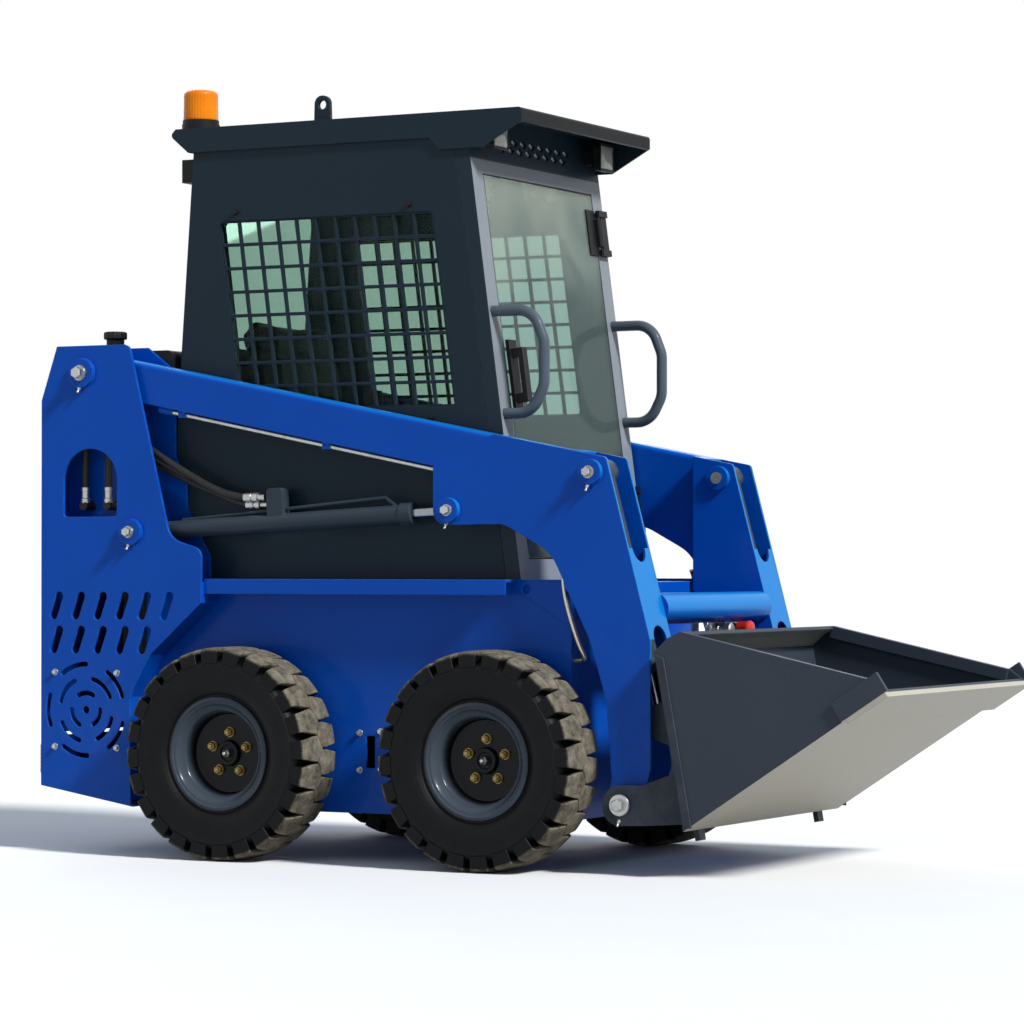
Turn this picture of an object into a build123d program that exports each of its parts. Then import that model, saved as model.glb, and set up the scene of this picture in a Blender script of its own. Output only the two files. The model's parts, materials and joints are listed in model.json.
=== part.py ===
# Compact skid steer loader, all sizes in millimetres.
# While modelling, X = 0 lies midway between the axles and X points forward.
# Y points to the machine's left, Z points up and the floor is Z = 0.
import os
from math import atan2, cos, degrees, hypot, pi, radians, sin, tan
from build123d import *

# Wheels
WHEELBASE = 810
WHEEL_Y = 510
TYRE_R = 295
TYRE_W = 175
RIM_R = 135
FLANGE_R = 158
SHAFT_R = 28
AXLE_Z = TYRE_R

# Sheet and plate
PLATE = 8
THIN = 6
RUN = 0.3
GAP = 6

# Stack across the machine, from the cab outward, as distances from the middle
CAB_Y = 388
TOWER_IN = 390
ARM_IN = TOWER_IN + 7 + GAP
ARM_OUT = ARM_IN + 62
TOWER_OUT = ARM_OUT + 12
SIDE_Y = 400
LEG_IN = 335
LIFT_Y = 434
TILT_Y = 400

# Pins of the lift linkage, as (X, Z)
PIVOT = (-920, 1362)
LIFT_BASE = (-752, 909)
LIFT_EYE = (262, 964)
TILT_BASE = (692, 1062)
TILT_EYE = (870, 403)
HINGE = (790, 187)
PIVOT_R = 22
PIN_R = 17

# Chassis
FLOOR_Z = 133
DECK_Z = 769
BODY_FRONT = 600
BODY_REAR = -1062
REAR_FLOOR = -753

# Overall ends, used to centre the part over its own length
X_FRONT = 1557
REAR_DOOR_OUT = 33
X_REAR = BODY_REAR - REAR_DOOR_OUT
X_MID = (X_FRONT + X_REAR) / 2

# Cab
FRONT_X = 439
FRONT_Z = 795
FRONT_TOP = (286, 1924)
LEAN = (FRONT_X - FRONT_TOP[0]) / (FRONT_TOP[1] - FRONT_Z)
PILLAR_W = 60
PILLAR_D = 45
WALL = 34
ROOF_Z = 2052
ROOF_Y = 396
CAB_TOP = ROOF_Z - THIN
DOOR_GAP = 5
GLASS = 8


def outline(points):
    """Closed outline in the XZ plane; a third number rounds that corner."""
    spots = [Vector(p[0], 0, p[1]) for p in points]
    ends = []
    for i, p in enumerate(points):
        b = spots[i]
        if len(p) < 3:
            ends.append((b, None, b))
            continue
        u = (spots[i - 1] - b).normalized()
        v = (spots[(i + 1) % len(spots)] - b).normalized()
        half = radians(u.get_angle(v)) / 2
        centre = b + (u + v).normalized() * (p[2] / sin(half))
        middle = centre + (b - centre).normalized() * p[2]
        reach = p[2] / tan(half)
        ends.append((b + u * reach, middle, b + v * reach))
    edges = []
    for i, (start, middle, stop) in enumerate(ends):
        if middle is not None:
            edges.append(ThreePointArc(start, middle, stop))
        nxt = ends[(i + 1) % len(ends)][0]
        if (nxt - stop).length > 1e-6:
            edges.append(Line(stop, nxt))
    return make_face(edges)


def slab(points, y0, y1):
    """Side outline made solid from y0 to y1."""
    return Pos(0, y0, 0) * extrude(outline(points), amount=y1 - y0, dir=(0, 1, 0))


def block(x0, x1, y0, y1, z0, z1):
    """Box between three pairs of limits."""
    return Pos((x0 + x1) / 2, (y0 + y1) / 2, (z0 + z1) / 2) * Box(x1 - x0, y1 - y0, z1 - z0)


def cross_pin(at, r, y0, y1):
    """Round bar across the machine at a side position."""
    return Pos(at[0], (y0 + y1) / 2, at[1]) * Rot(90, 0, 0) * Cylinder(r, y1 - y0)


def post(x, y, r, z0, z1):
    """Upright round bar."""
    return Pos(x, y, (z0 + z1) / 2) * Cylinder(r, z1 - z0)


def strip(path, thick, y0, y1):
    """Bent sheet that follows a side path, thick to the path's left."""
    spots = [Vector(x, 0, z) for x, z in path]
    sides = []
    for a, b in zip(spots, spots[1:]):
        d = (b - a).normalized()
        sides.append((a, b, Vector(-d.Z, 0, d.X)))
    far = [sides[0][0] + sides[0][2] * thick]
    for (_, b, n), (_, _, m) in zip(sides, sides[1:]):
        far.append(b + (n + m) * (thick / (1 + n.dot(m))))
    far.append(sides[-1][1] + sides[-1][2] * thick)
    loop = [(v.X, v.Z) for v in spots] + [(v.X, v.Z) for v in reversed(far)]
    return slab(loop, y0, y1)


def other_side(shape):
    """The same piece on the machine's right."""
    return mirror(shape, about=Plane.XZ)


def both(shape):
    """A left piece and its twin on the right."""
    return [shape, other_side(shape)]


def save(name, solids):
    """Writes one node, centred over the machine's length."""
    moved = [Pos(-X_MID, 0, 0) * s for s in solids]
    shape = moved[0] if len(moved) == 1 else Compound(children=moved)
    export_step(shape, f"parts/{name}.step")


def front_x(z):
    """X of the cab's leaning front face at a height."""
    return FRONT_X - LEAN * (z - FRONT_Z)


def on_line(a, b, s):
    """Plane at distance s from a towards b, its axis along the line."""
    d = Vector(b[0] - a[0], 0, b[1] - a[1]).normalized()
    at = Vector(a[0], 0, a[1]) + d * s
    return Plane(origin=at, x_dir=(0, 1, 0), z_dir=d)


def bar(a, b, s0, s1, r, y):
    """Round bar along the line from a to b between two distances."""
    solid = Cylinder(r, s1 - s0, align=(Align.CENTER, Align.CENTER, Align.MIN))
    return Pos(0, y, 0) * (on_line(a, b, s0) * solid)


# Chassis and rear body

# Narrow upright opening in the body side between the wheels
PEEP_X = (-34, -6)
PEEP_Z = (258, 346)


def chassis_tub():
    rear_y = TOWER_OUT
    floor = slab([(REAR_FLOOR, FLOOR_Z), (BODY_FRONT, FLOOR_Z), (BODY_FRONT, FLOOR_Z + PLATE),
                  (REAR_FLOOR, FLOOR_Z + PLATE)], -SIDE_Y, SIDE_Y)
    rise = (186 - FLOOR_Z) / (REAR_FLOOR - BODY_REAR)
    back = BODY_REAR + PLATE
    back_z = FLOOR_Z + rise * (REAR_FLOOR - back)
    slope = slab([(REAR_FLOOR, FLOOR_Z), (REAR_FLOOR, FLOOR_Z + PLATE), (back, back_z + PLATE),
                  (back, back_z)], -rear_y, rear_y)
    tub = floor + slope + block(BODY_REAR, back, -TOWER_IN, TOWER_IN, back_z, 326)
    side = block(-757, BODY_FRONT, SIDE_Y - PLATE, SIDE_Y, FLOOR_Z, DECK_Z)
    side += block(-757, BODY_FRONT, CAB_Y - WALL, SIDE_Y, DECK_Z - PLATE, DECK_Z)
    for s in both(side):
        tub += s
    tub += block(BODY_FRONT - PLATE, BODY_FRONT, -SIDE_Y, SIDE_Y, FLOOR_Z, DECK_Z)
    tub += block(FRONT_X + 10, BODY_FRONT, -SIDE_Y, SIDE_Y, DECK_Z - PLATE, DECK_Z)
    for x in (-700, -480):
        tub += block(x - 30, x + 30, -SIDE_Y + PLATE, SIDE_Y - PLATE, FLOOR_Z + PLATE, ENGINE_Z)
    for x in (-WHEELBASE / 2, WHEELBASE / 2):
        hole = cross_pin((x, AXLE_Z), SHAFT_R + 4, -SIDE_Y - 1, SIDE_Y + 1)
        tub -= hole
    return tub - block(*PEEP_X, -SIDE_Y - 1, SIDE_Y + 1, *PEEP_Z)


ENGINE_X = (-960, -450)
ENGINE_Y = 220
ENGINE_Z = 200
ENGINE_TOP = 752


def engine_block():
    return block(*ENGINE_X, -ENGINE_Y, ENGINE_Y, ENGINE_Z, ENGINE_TOP)


TOWER_CUT = BODY_REAR + 53
TOWER_OUTLINE = [(TOWER_CUT, 1440), (-762, 1440, 24), (-623, 890, 60), (-519, 860, 30), (-519, 710),
                 (-689, 563, 60), (-757, 443, 60), (-755, FLOOR_Z + 2), (BODY_REAR, 186), (BODY_REAR, 1286)]
TOWER_INSIDE = [(TOWER_CUT, 1434), (-756, 1434), (-673, 1371), (-662, 1227), (-662, 1125), (-624, 1042),
                (-624, 977), (-545, 841), (-545, 777), (BODY_REAR, 777), (BODY_REAR, 1286)]

SLOT_W = 26
SLOT_PITCH = 75
SLOT_LEAN = 10
FAN = (BODY_REAR + 155, 404)
FAN_SLOT = 14


def plate_cut(face):
    """Cuts a side outline through the tower's outer plate."""
    return Pos(0, TOWER_OUT - 1, 0) * extrude(Plane.XZ * face, amount=PLATE + 2, dir=(0, 1, 0))


def vent_slots():
    cuts = []
    for z, count in ((700, 6), (603, 5)):
        for i in range(count):
            x = TOWER_CUT + i * SLOT_PITCH
            cuts.append(plate_cut(SlotCenterPoint((x, z), (x + SLOT_LEAN, z + 27), SLOT_W)))
    return cuts


def fan_slots():
    cuts = [plate_cut(Pos(*FAN) * Circle(11))]
    for r, count, start, span in ((130, 5, 18, 38), (90, 4, 25, 50), (48, 3, 60, 62)):
        for i in range(count):
            arc = CenterArc((0, 0), r, start + i * 360 / count, span)
            cuts.append(plate_cut(Pos(*FAN) * SlotArc(arc, FAN_SLOT)))
    return cuts


def tower():
    outer = slab(TOWER_OUTLINE, TOWER_OUT, TOWER_OUT + PLATE)
    arch = [(-985, 953, 10), (-802, 953, 10), (-802, 1146, 90), (-985, 1146, 90)]
    outer -= slab(arch, TOWER_OUT - 1, TOWER_OUT + PLATE + 1)
    inner = slab(TOWER_INSIDE, TOWER_IN, TOWER_IN + 7)
    rear = strip([(TOWER_CUT, 1434), (BODY_REAR, 1286), (BODY_REAR, 186)], PLATE, TOWER_IN, TOWER_OUT + 1)
    liner = strip([(-519, 768), (-519, 710), (-689, 563), (-757, 443), (-757, 152)], -THIN,
                  SIDE_Y, TOWER_OUT + 1)
    outer = outer.cut(*vent_slots(), *fan_slots())
    solid = outer + inner + rear + liner
    for at, r in ((PIVOT, PIVOT_R), (LIFT_BASE, PIN_R)):
        solid += cross_pin(at, r + 20, TOWER_OUT + PLATE - 1, TOWER_OUT + PLATE + 12)
        solid -= cross_pin(at, r + RUN, TOWER_OUT - 5, TOWER_OUT + 40)
    return solid


def tower_pins():
    solids = []
    for at, r in ((PIVOT, PIVOT_R), (LIFT_BASE, PIN_R)):
        solids.append(cross_pin(at, r, TOWER_IN + 7, TOWER_OUT + PLATE + 18))
    return solids


HOSE_R = 10
ELBOW_R = HOSE_R + 3
HOSE_Z = (985, 1250)
HOSE_X = (-945, -865)


def tower_hose(x):
    """Upright hose behind the arched window, held by an elbow on the inner plate at each end."""
    y0, y1 = TOWER_IN + 7, (TOWER_IN + TOWER_OUT) / 2
    hose = post(x, y1, HOSE_R, *HOSE_Z)
    for z in HOSE_Z:
        hose += cross_pin((x, z), ELBOW_R, y0, y1 + ELBOW_R)
    return hose


def fender():
    top = block(-519, 436, SIDE_Y, 470, DECK_Z, DECK_Z + PLATE)
    lip = block(-519, 436, 470 - PLATE, 470, 735, DECK_Z + PLATE)
    gusset = slab([(396, DECK_Z + PLATE), (608, DECK_Z + PLATE), (604, 648, 12)], SIDE_Y, SIDE_Y + PLATE)
    gusset -= cross_pin((470, 752), 13, SIDE_Y - 1, SIDE_Y + PLATE + 1)
    return top + lip + gusset


def axle_housing(x):
    at = (x, AXLE_Z)
    solid = cross_pin(at, 92, SIDE_Y, SIDE_Y + 14) + cross_pin(at, 58, SIDE_Y, 474)
    return solid - cross_pin(at, SHAFT_R + RUN, SIDE_Y - 1, 480)


HOOD_Z = (1330, 1426)


def engine_hood():
    x0, x1 = BODY_REAR + 14, -674
    y = TOWER_IN
    low, high = HOOD_Z
    body = block(x0, x1, -y, y, low, high)
    body = fillet(body.edges().filter_by(Axis.Y).sort_by(Axis.Z)[-2:], 22)
    return body - block(x0 + THIN, x1 - THIN, -y + THIN, y - THIN, low - 1, high - THIN)


CAP_AT = (BODY_REAR + 128, -300)


def filler_cap():
    neck = HOOD_Z[1] + 42
    return post(*CAP_AT, 26, HOOD_Z[1], neck) + post(*CAP_AT, 34, neck, neck + 22)


def tail_lamp():
    return block(BODY_REAR - 20, BODY_REAR, 402, 466, 216, 306)


REAR_DOOR_X = BODY_REAR - 5
REAR_HINGE = (BODY_REAR - 16, TOWER_IN + 8)
REAR_DOOR_Y = TOWER_IN - 16
REAR_DOOR_Z = (334, 1318)
REAR_HINGE_Z = (520, 1130)
LOUVRES = 7
LOUVRE_H = 18
LOUVRE_PITCH = 52


def louvres():
    """Two columns of level slots in the engine door."""
    cuts = []
    for i in range(LOUVRES):
        z = REAR_DOOR_Z[1] - 150 - i * LOUVRE_PITCH
        for y in (-170, 170):
            cuts.append(block(X_REAR - 1, REAR_DOOR_X + 1, y - 120, y + 120, z - LOUVRE_H, z))
    return cuts


def rear_door():
    solid = block(X_REAR + 10, REAR_DOOR_X, -REAR_DOOR_Y, REAR_DOOR_Y, *REAR_DOOR_Z)
    solid += block(X_REAR + 1, X_REAR + 11, -REAR_DOOR_Y + 40, REAR_DOOR_Y - 40, REAR_DOOR_Z[0] + 40,
                   REAR_DOOR_Z[1] - 40)
    solid = solid.cut(*louvres())
    solid += block(X_REAR, X_REAR + 12, -REAR_DOOR_Y + 52, -REAR_DOOR_Y + 96, 700, 860)
    for z in REAR_HINGE_Z:
        leaf = block(REAR_HINGE[0] - 14, REAR_HINGE[0] - 4, REAR_DOOR_Y - 1, REAR_HINGE[1], z - 30, z + 30)
        solid += leaf + post(*REAR_HINGE, 12, z - 30, z + 30)
        solid -= post(*REAR_HINGE, 6 + RUN, z - 31, z + 31)
    return solid


def rear_hinge_pins():
    solids = []
    for z in REAR_HINGE_Z:
        pin = post(*REAR_HINGE, 6, z - 48, z + 48)
        for end in (z - 42, z + 42):
            pin += block(REAR_HINGE[0] - 8, BODY_REAR, REAR_HINGE[1] - 8, REAR_HINGE[1] + 8, end - 8, end + 8)
        solids.append(pin)
    return solids


# Cab

SIDE_OUTLINE = [(front_x(DECK_Z) - PILLAR_D - 1, DECK_Z), (front_x(CAB_TOP) - PILLAR_D - 1, CAB_TOP),
                (-604, CAB_TOP), (-652, 1363), (-686, DECK_Z)]
GRILLE = [(-522, 1783), (167, 1783), (240, 1250), (-452, 1250)]
COLUMNS = 11
ROWS = 8
GRILLE_BAR = 9


def cab_side():
    solid = slab(SIDE_OUTLINE, CAB_Y - WALL, CAB_Y)
    return solid - slab([(*p, 14) for p in GRILLE], CAB_Y - WALL - 1, CAB_Y + 1)


def grille_point(c, r):
    """Position in the leaning window, from 0 to 1 along and down."""
    top = GRILLE[0][0] + c * (GRILLE[1][0] - GRILLE[0][0])
    low = GRILLE[3][0] + c * (GRILLE[2][0] - GRILLE[3][0])
    z = GRILLE[0][1] + r * (GRILLE[3][1] - GRILLE[0][1])
    return top + r * (low - top), z


def cab_grille():
    solid = slab([(*p, 13.5) for p in inset(GRILLE, 0.5)], CAB_Y - 10, CAB_Y - 2)
    du = GRILLE_BAR / 2 / (GRILLE[1][0] - GRILLE[0][0])
    dv = GRILLE_BAR / 2 / (GRILLE[0][1] - GRILLE[3][1])
    holes = []
    for c in range(COLUMNS):
        for r in range(ROWS):
            u0, u1 = c / COLUMNS + du, (c + 1) / COLUMNS - du
            v0, v1 = r / ROWS + dv, (r + 1) / ROWS - dv
            spots = [grille_point(u, v) for u, v in ((u0, v0), (u1, v0), (u1, v1), (u0, v1))]
            holes.append(slab(spots, CAB_Y - 12, CAB_Y))
    return solid.cut(*holes)


def inset(points, d):
    """Corners of a four-sided outline drawn in by d."""
    cx = sum(p[0] for p in points) / 4
    cz = sum(p[1] for p in points) / 4
    return [(x + (d if x < cx else -d), z + (d if z < cz else -d)) for x, z in points]


def side_glass():
    return slab([(*p, 13) for p in inset(GRILLE, 1)], CAB_Y - 24, CAB_Y - 19)


REAR_PATH = [(-686, DECK_Z), (-652, 1363), (-604, CAB_TOP)]
REAR_WINDOW = (1440, 1880, 270)


def cab_rear():
    y = CAB_Y - WALL
    solid = strip(REAR_PATH, -WALL, -y, y)
    low, high, half = REAR_WINDOW
    hole = block(-760, -560, -half, half, low, high)
    return solid - fillet(hole.edges().filter_by(Axis.X), 60)


def rear_glass():
    low, high, half = REAR_WINDOW
    pane = strip([(-636, 1363), (-588, CAB_TOP)], -5, -half + 1, half - 1)
    cut = block(-760, -500, -half + 1, half - 1, low + 1, high - 1)
    return pane & fillet(cut.edges().filter_by(Axis.X), 59)


FRONT_PLANE = Plane(origin=(FRONT_X, 0, FRONT_Z), x_dir=(0, 1, 0),
                    z_dir=Vector(1, 0, LEAN).normalized())
SLANT = hypot(1, LEAN)
DOOR_LOW = (832 - FRONT_Z) * SLANT
DOOR_HIGH = (ROOF_Z - 166 - FRONT_Z) * SLANT
HEADER_Z = ROOF_Z - 127
DOOR_Y = CAB_Y - PILLAR_W


def leaning(y0, y1, s0, s1, n0, n1):
    """Box on the cab's leaning front: across, up the slope and out of it."""
    solid = Pos((y0 + y1) / 2, (s0 + s1) / 2, (n0 + n1) / 2) * Box(y1 - y0, s1 - s0, n1 - n0)
    return FRONT_PLANE * solid


def front_frame(z0, z1):
    """Full slice of the leaning front between two levels."""
    low = (DECK_Z - FRONT_Z) * SLANT - 60
    high = (ROOF_Z - FRONT_Z) * SLANT + 60
    return leaning(-CAB_Y, CAB_Y, low, high, -PILLAR_D / SLANT, 0) & block(-500, 900, -CAB_Y, CAB_Y, z0, z1)


def cab_front():
    return front_frame(DECK_Z, HEADER_Z) - leaning(-DOOR_Y, DOOR_Y, DOOR_LOW, DOOR_HIGH, -80, 30)


DIAMONDS = 8
DIAMOND_W = 40
DIAMOND_H = 26
DIAMOND_PITCH = 52


def diamond(y, z):
    """Four-cornered hole through the header plate."""
    s = (z - FRONT_Z) * SLANT
    w, h = DIAMOND_W / 2, DIAMOND_H / 2
    face = make_face(Polyline((y - w, s, -30), (y, s - h, -30), (y + w, s, -30), (y, s + h, -30), close=True))
    return FRONT_PLANE * extrude(face, amount=60, dir=(0, 0, 1))


def cab_header():
    solid = front_frame(HEADER_Z, CAB_TOP)
    high = (ROOF_Z - FRONT_Z) * SLANT
    solid -= leaning(-DOOR_Y, DOOR_Y, DOOR_HIGH, high + 60, -80, -PLATE)
    holes = []
    for row, z in ((-0.25, HEADER_Z + 42), (0.25, HEADER_Z + 66)):
        for i in range(DIAMONDS):
            holes.append(diamond((i - (DIAMONDS - 1) / 2 + row) * DIAMOND_PITCH, z))
    return solid.cut(*holes)


DOOR_PIN = (DOOR_Y + 2, 12)
HINGES = (180, 985)
HINGE_H = 66
KNUCKLE_H = 40


def cab_door():
    return leaning(-DOOR_Y + DOOR_GAP, DOOR_Y - DOOR_GAP, DOOR_LOW + DOOR_GAP, DOOR_HIGH - DOOR_GAP,
                   -GLASS, 0)


def slope_post(y, n, r, s0, s1):
    """Round bar that runs up the leaning front."""
    solid = Rot(-90, 0, 0) * Cylinder(r, s1 - s0)
    return FRONT_PLANE * (Pos(y, (s0 + s1) / 2, n) * solid)


def door_hardware():
    y, n = DOOR_PIN
    solids = []
    for s in HINGES:
        leaf = leaning(y - 58, y - 8, s - HINGE_H, s + HINGE_H, 0, 5)
        neck = leaning(y - 14, y, s - KNUCKLE_H, s + KNUCKLE_H, 3, n + 4)
        knuckle = slope_post(y, n, 9, s - KNUCKLE_H, s + KNUCKLE_H)
        solids.append(leaf + neck + knuckle - slope_post(y, n, 4 + RUN, s - HINGE_H - 1, s + HINGE_H + 1))
    grip = leaning(-DOOR_Y + 14, -DOOR_Y + 58, 440, 640, 0, 10)
    grip += leaning(-DOOR_Y + 22, -DOOR_Y + 50, 466, 614, 30, 44)
    for s in (466, 590):
        grip += leaning(-DOOR_Y + 22, -DOOR_Y + 50, s, s + 24, 8, 32)
    solids.append(grip)
    return solids


def door_pins():
    y, n = DOOR_PIN
    solids = []
    for s in HINGES:
        pin = slope_post(y, n, 4, s - HINGE_H, s + HINGE_H)
        for e in (s - HINGE_H + 9, s + HINGE_H - 9):
            pin += leaning(y - 3, y + 50, e - 9, e + 9, n - 6, n + 6)
        pin += leaning(y + 16, y + 50, s - HINGE_H, s + HINGE_H, 0, n)
        solids.append(pin)
    return solids


ROOF_SKIRT = ROOF_Z - 103
ROOF_SIDE = ROOF_Z - 69
ROOF_OUTLINE = [(-664, ROOF_Z), (447, ROOF_Z, 10), (447, ROOF_Z - 37), (326, ROOF_SKIRT), (192, ROOF_SKIRT),
                (161, ROOF_SIDE), (-622, ROOF_SIDE), (-683, ROOF_Z - 18, 12)]
ROOF_HOLLOW = [(-656, CAB_TOP), (441, CAB_TOP), (441, ROOF_SKIRT - 50), (-616, ROOF_SKIRT - 50),
               (-616, ROOF_SIDE + 5), (-672, ROOF_Z - 18)]


def cab_roof():
    return slab(ROOF_OUTLINE, -ROOF_Y, ROOF_Y) - slab(ROOF_HOLLOW, -ROOF_Y + THIN, ROOF_Y - THIN)


def cab_floor():
    y = CAB_Y - WALL
    path = [(-648, DECK_Z), (-40, DECK_Z), (-40, 480), (386, 480), (386, DECK_Z)]
    return strip(path, PLATE, -y, y)


SEAT_X = -440
SEAT_TOP = 1010


def seat_base():
    return block(SEAT_X, -60, -230, 230, DECK_Z + PLATE, 900)


def seat_cushion():
    solid = block(SEAT_X + 10, -10, -240, 240, 900, SEAT_TOP)
    return fillet(solid.edges().filter_by(Axis.Y).sort_by(Axis.Z)[-2:], 36)


SEAT_BACK_TOP = SEAT_TOP + 546
SEAT_BACK_LEAN = 110


def seat_back():
    foot = SEAT_TOP + RUN
    head = SEAT_BACK_LEAN
    return slab([(SEAT_X + 50, foot), (SEAT_X + 50 - head, SEAT_BACK_TOP, 36),
                 (SEAT_X - 48 - head, SEAT_BACK_TOP - 20, 36), (SEAT_X - 50, foot)], -230, 230)


def control_console():
    box = block(-330, -50, 256, 346, DECK_Z + PLATE, 1090)
    stick = post(-70, 300, 11, 1090, 1200) + post(-70, 300, 24, 1200, 1300)
    return box + stick


HANDLE_Z = (1226, 1505)
HANDLE_X = 500
HANDLE_R = 15
HANDLE_BEND = 66


def grab_handle():
    y = CAB_Y - 24
    low, high = HANDLE_Z
    path = FilletPolyline((front_x(high) - 20, y, high), (HANDLE_X - 34, y, high), (HANDLE_X, y, high - 85),
                          (HANDLE_X, y, low + 74), (HANDLE_X - 38, y, low), (front_x(low) - 20, y, low),
                          radius=HANDLE_BEND)
    tube = sweep(Plane(origin=path @ 0, z_dir=path % 0) * Circle(HANDLE_R), path=path)
    return tube - leaning(0, CAB_Y + 100, -100, DOOR_HIGH, -200, 0)


LAMP_Y = 322
LAMP_HALF = 44
LAMP_DEEP = 28
LAMP_Z = (ROOF_Z - 102, ROOF_Z - 26)
LAMP_X = front_x(LAMP_Z[0]) + 60
REAR_LAMP_Z = (ROOF_Z - 146, ROOF_Z - 80)
REAR_LAMP_X = -684
REAR_LAMP_Y = 304


def front_lamp():
    low, high = LAMP_Z
    back = LAMP_X - LAMP_DEEP
    case = block(back, LAMP_X, LAMP_Y - LAMP_HALF, LAMP_Y + LAMP_HALF, low, high)
    case = fillet(case.edges().filter_by(Axis.X), 14)
    case = chamfer(case.faces().sort_by(Axis.X)[0].edges(), 8)
    stem = slab([(front_x(low + 20), low + 20), (back + 2, low + 20), (back + 2, high - 20),
                 (front_x(high - 20), high - 20)], LAMP_Y - 16, LAMP_Y + 16)
    return case + stem


def rear_x(z):
    """X of the cab's rear wall at a height above its bend."""
    return -652 + (z - 1363) * (652 - 604) / (CAB_TOP - 1363)


def rear_lamp():
    low, high = REAR_LAMP_Z
    outline = [(REAR_LAMP_X, low), (REAR_LAMP_X, high), (rear_x(high), high), (rear_x(low), low)]
    return slab(outline, REAR_LAMP_Y - 28, REAR_LAMP_Y + 28)


def lamp_lens():
    low, high = LAMP_Z
    half = LAMP_HALF - 5
    pane = block(LAMP_X, LAMP_X + 6, LAMP_Y - half, LAMP_Y + half, low + 5, high - 5)
    pane = fillet(pane.edges().filter_by(Axis.X), 10)
    return chamfer(pane.faces().sort_by(Axis.X)[-1].edges(), 3)


def rear_lens():
    low, high = REAR_LAMP_Z
    return block(REAR_LAMP_X - 5, REAR_LAMP_X, REAR_LAMP_Y - 23, REAR_LAMP_Y + 23, low + 5, high - 5)


BEACON = (-628, -320)
BEACON_TOP = ROOF_Z + 116


def beacon_base():
    return post(*BEACON, 54, ROOF_Z, ROOF_Z + 18) + post(*BEACON, 52, ROOF_Z + 18, ROOF_Z + 30)


def beacon_lens():
    solid = post(*BEACON, 50, ROOF_Z + 30, BEACON_TOP)
    return chamfer(solid.edges().sort_by(Axis.Z)[-1:], 9, 9)


EYE_X = -190
EYE_Y = 372
EYE_HOLE = 12.5
EYE_Z = ROOF_Z + 44
EYE_TOP = ROOF_Z + 70


def lifting_eye():
    outline = [(EYE_X - 26, ROOF_Z), (EYE_X + 26, ROOF_Z), (EYE_X + 24, EYE_TOP, 23),
               (EYE_X - 24, EYE_TOP, 23)]
    tab = slab(outline, EYE_Y - 6, EYE_Y + 6)
    return tab - cross_pin((EYE_X, EYE_Z), EYE_HOLE, EYE_Y - 7, EYE_Y + 7)


# Lift arms

def beam_top(x):
    return 1390 - (x + 738) * (1390 - 1101) / (736 + 738)


def beam_low(x):
    return 1271 - (x + 717) * (1271 - 1084) / (213 + 717)


LEG_X = 612
LINE_R = 6
LINE_Y = 452
LINE_X = (-677, 216)
CLAMPS = (-599, -127)


def hard_line():
    """Steel pipe held under the beam by two tabs, with a thicker fitting at its rear end."""
    drop = LINE_R + 3
    ends = [(x, beam_low(x) - drop) for x in LINE_X]
    length = hypot(ends[1][0] - ends[0][0], ends[1][1] - ends[0][1])
    pipe = bar(*ends, 0, length, LINE_R, LINE_Y) + bar(*ends, 0, 44, LINE_R + 4, LINE_Y)
    for x in CLAMPS:
        pipe += block(x - 12, x + 12, LINE_Y - 8, LINE_Y + 10, beam_low(x) - 2 * drop, beam_low(x) + 6)
    return pipe


# The leg's top plate stops behind the tilt cylinder's pin
ROOF_END = TILT_BASE[0] - 46
LEG_FRONT = [(736, 1101), (865, 620), (865, 280)]
LEG_BACK = [(753, 251), (736, 461), (688, 618)]


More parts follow.
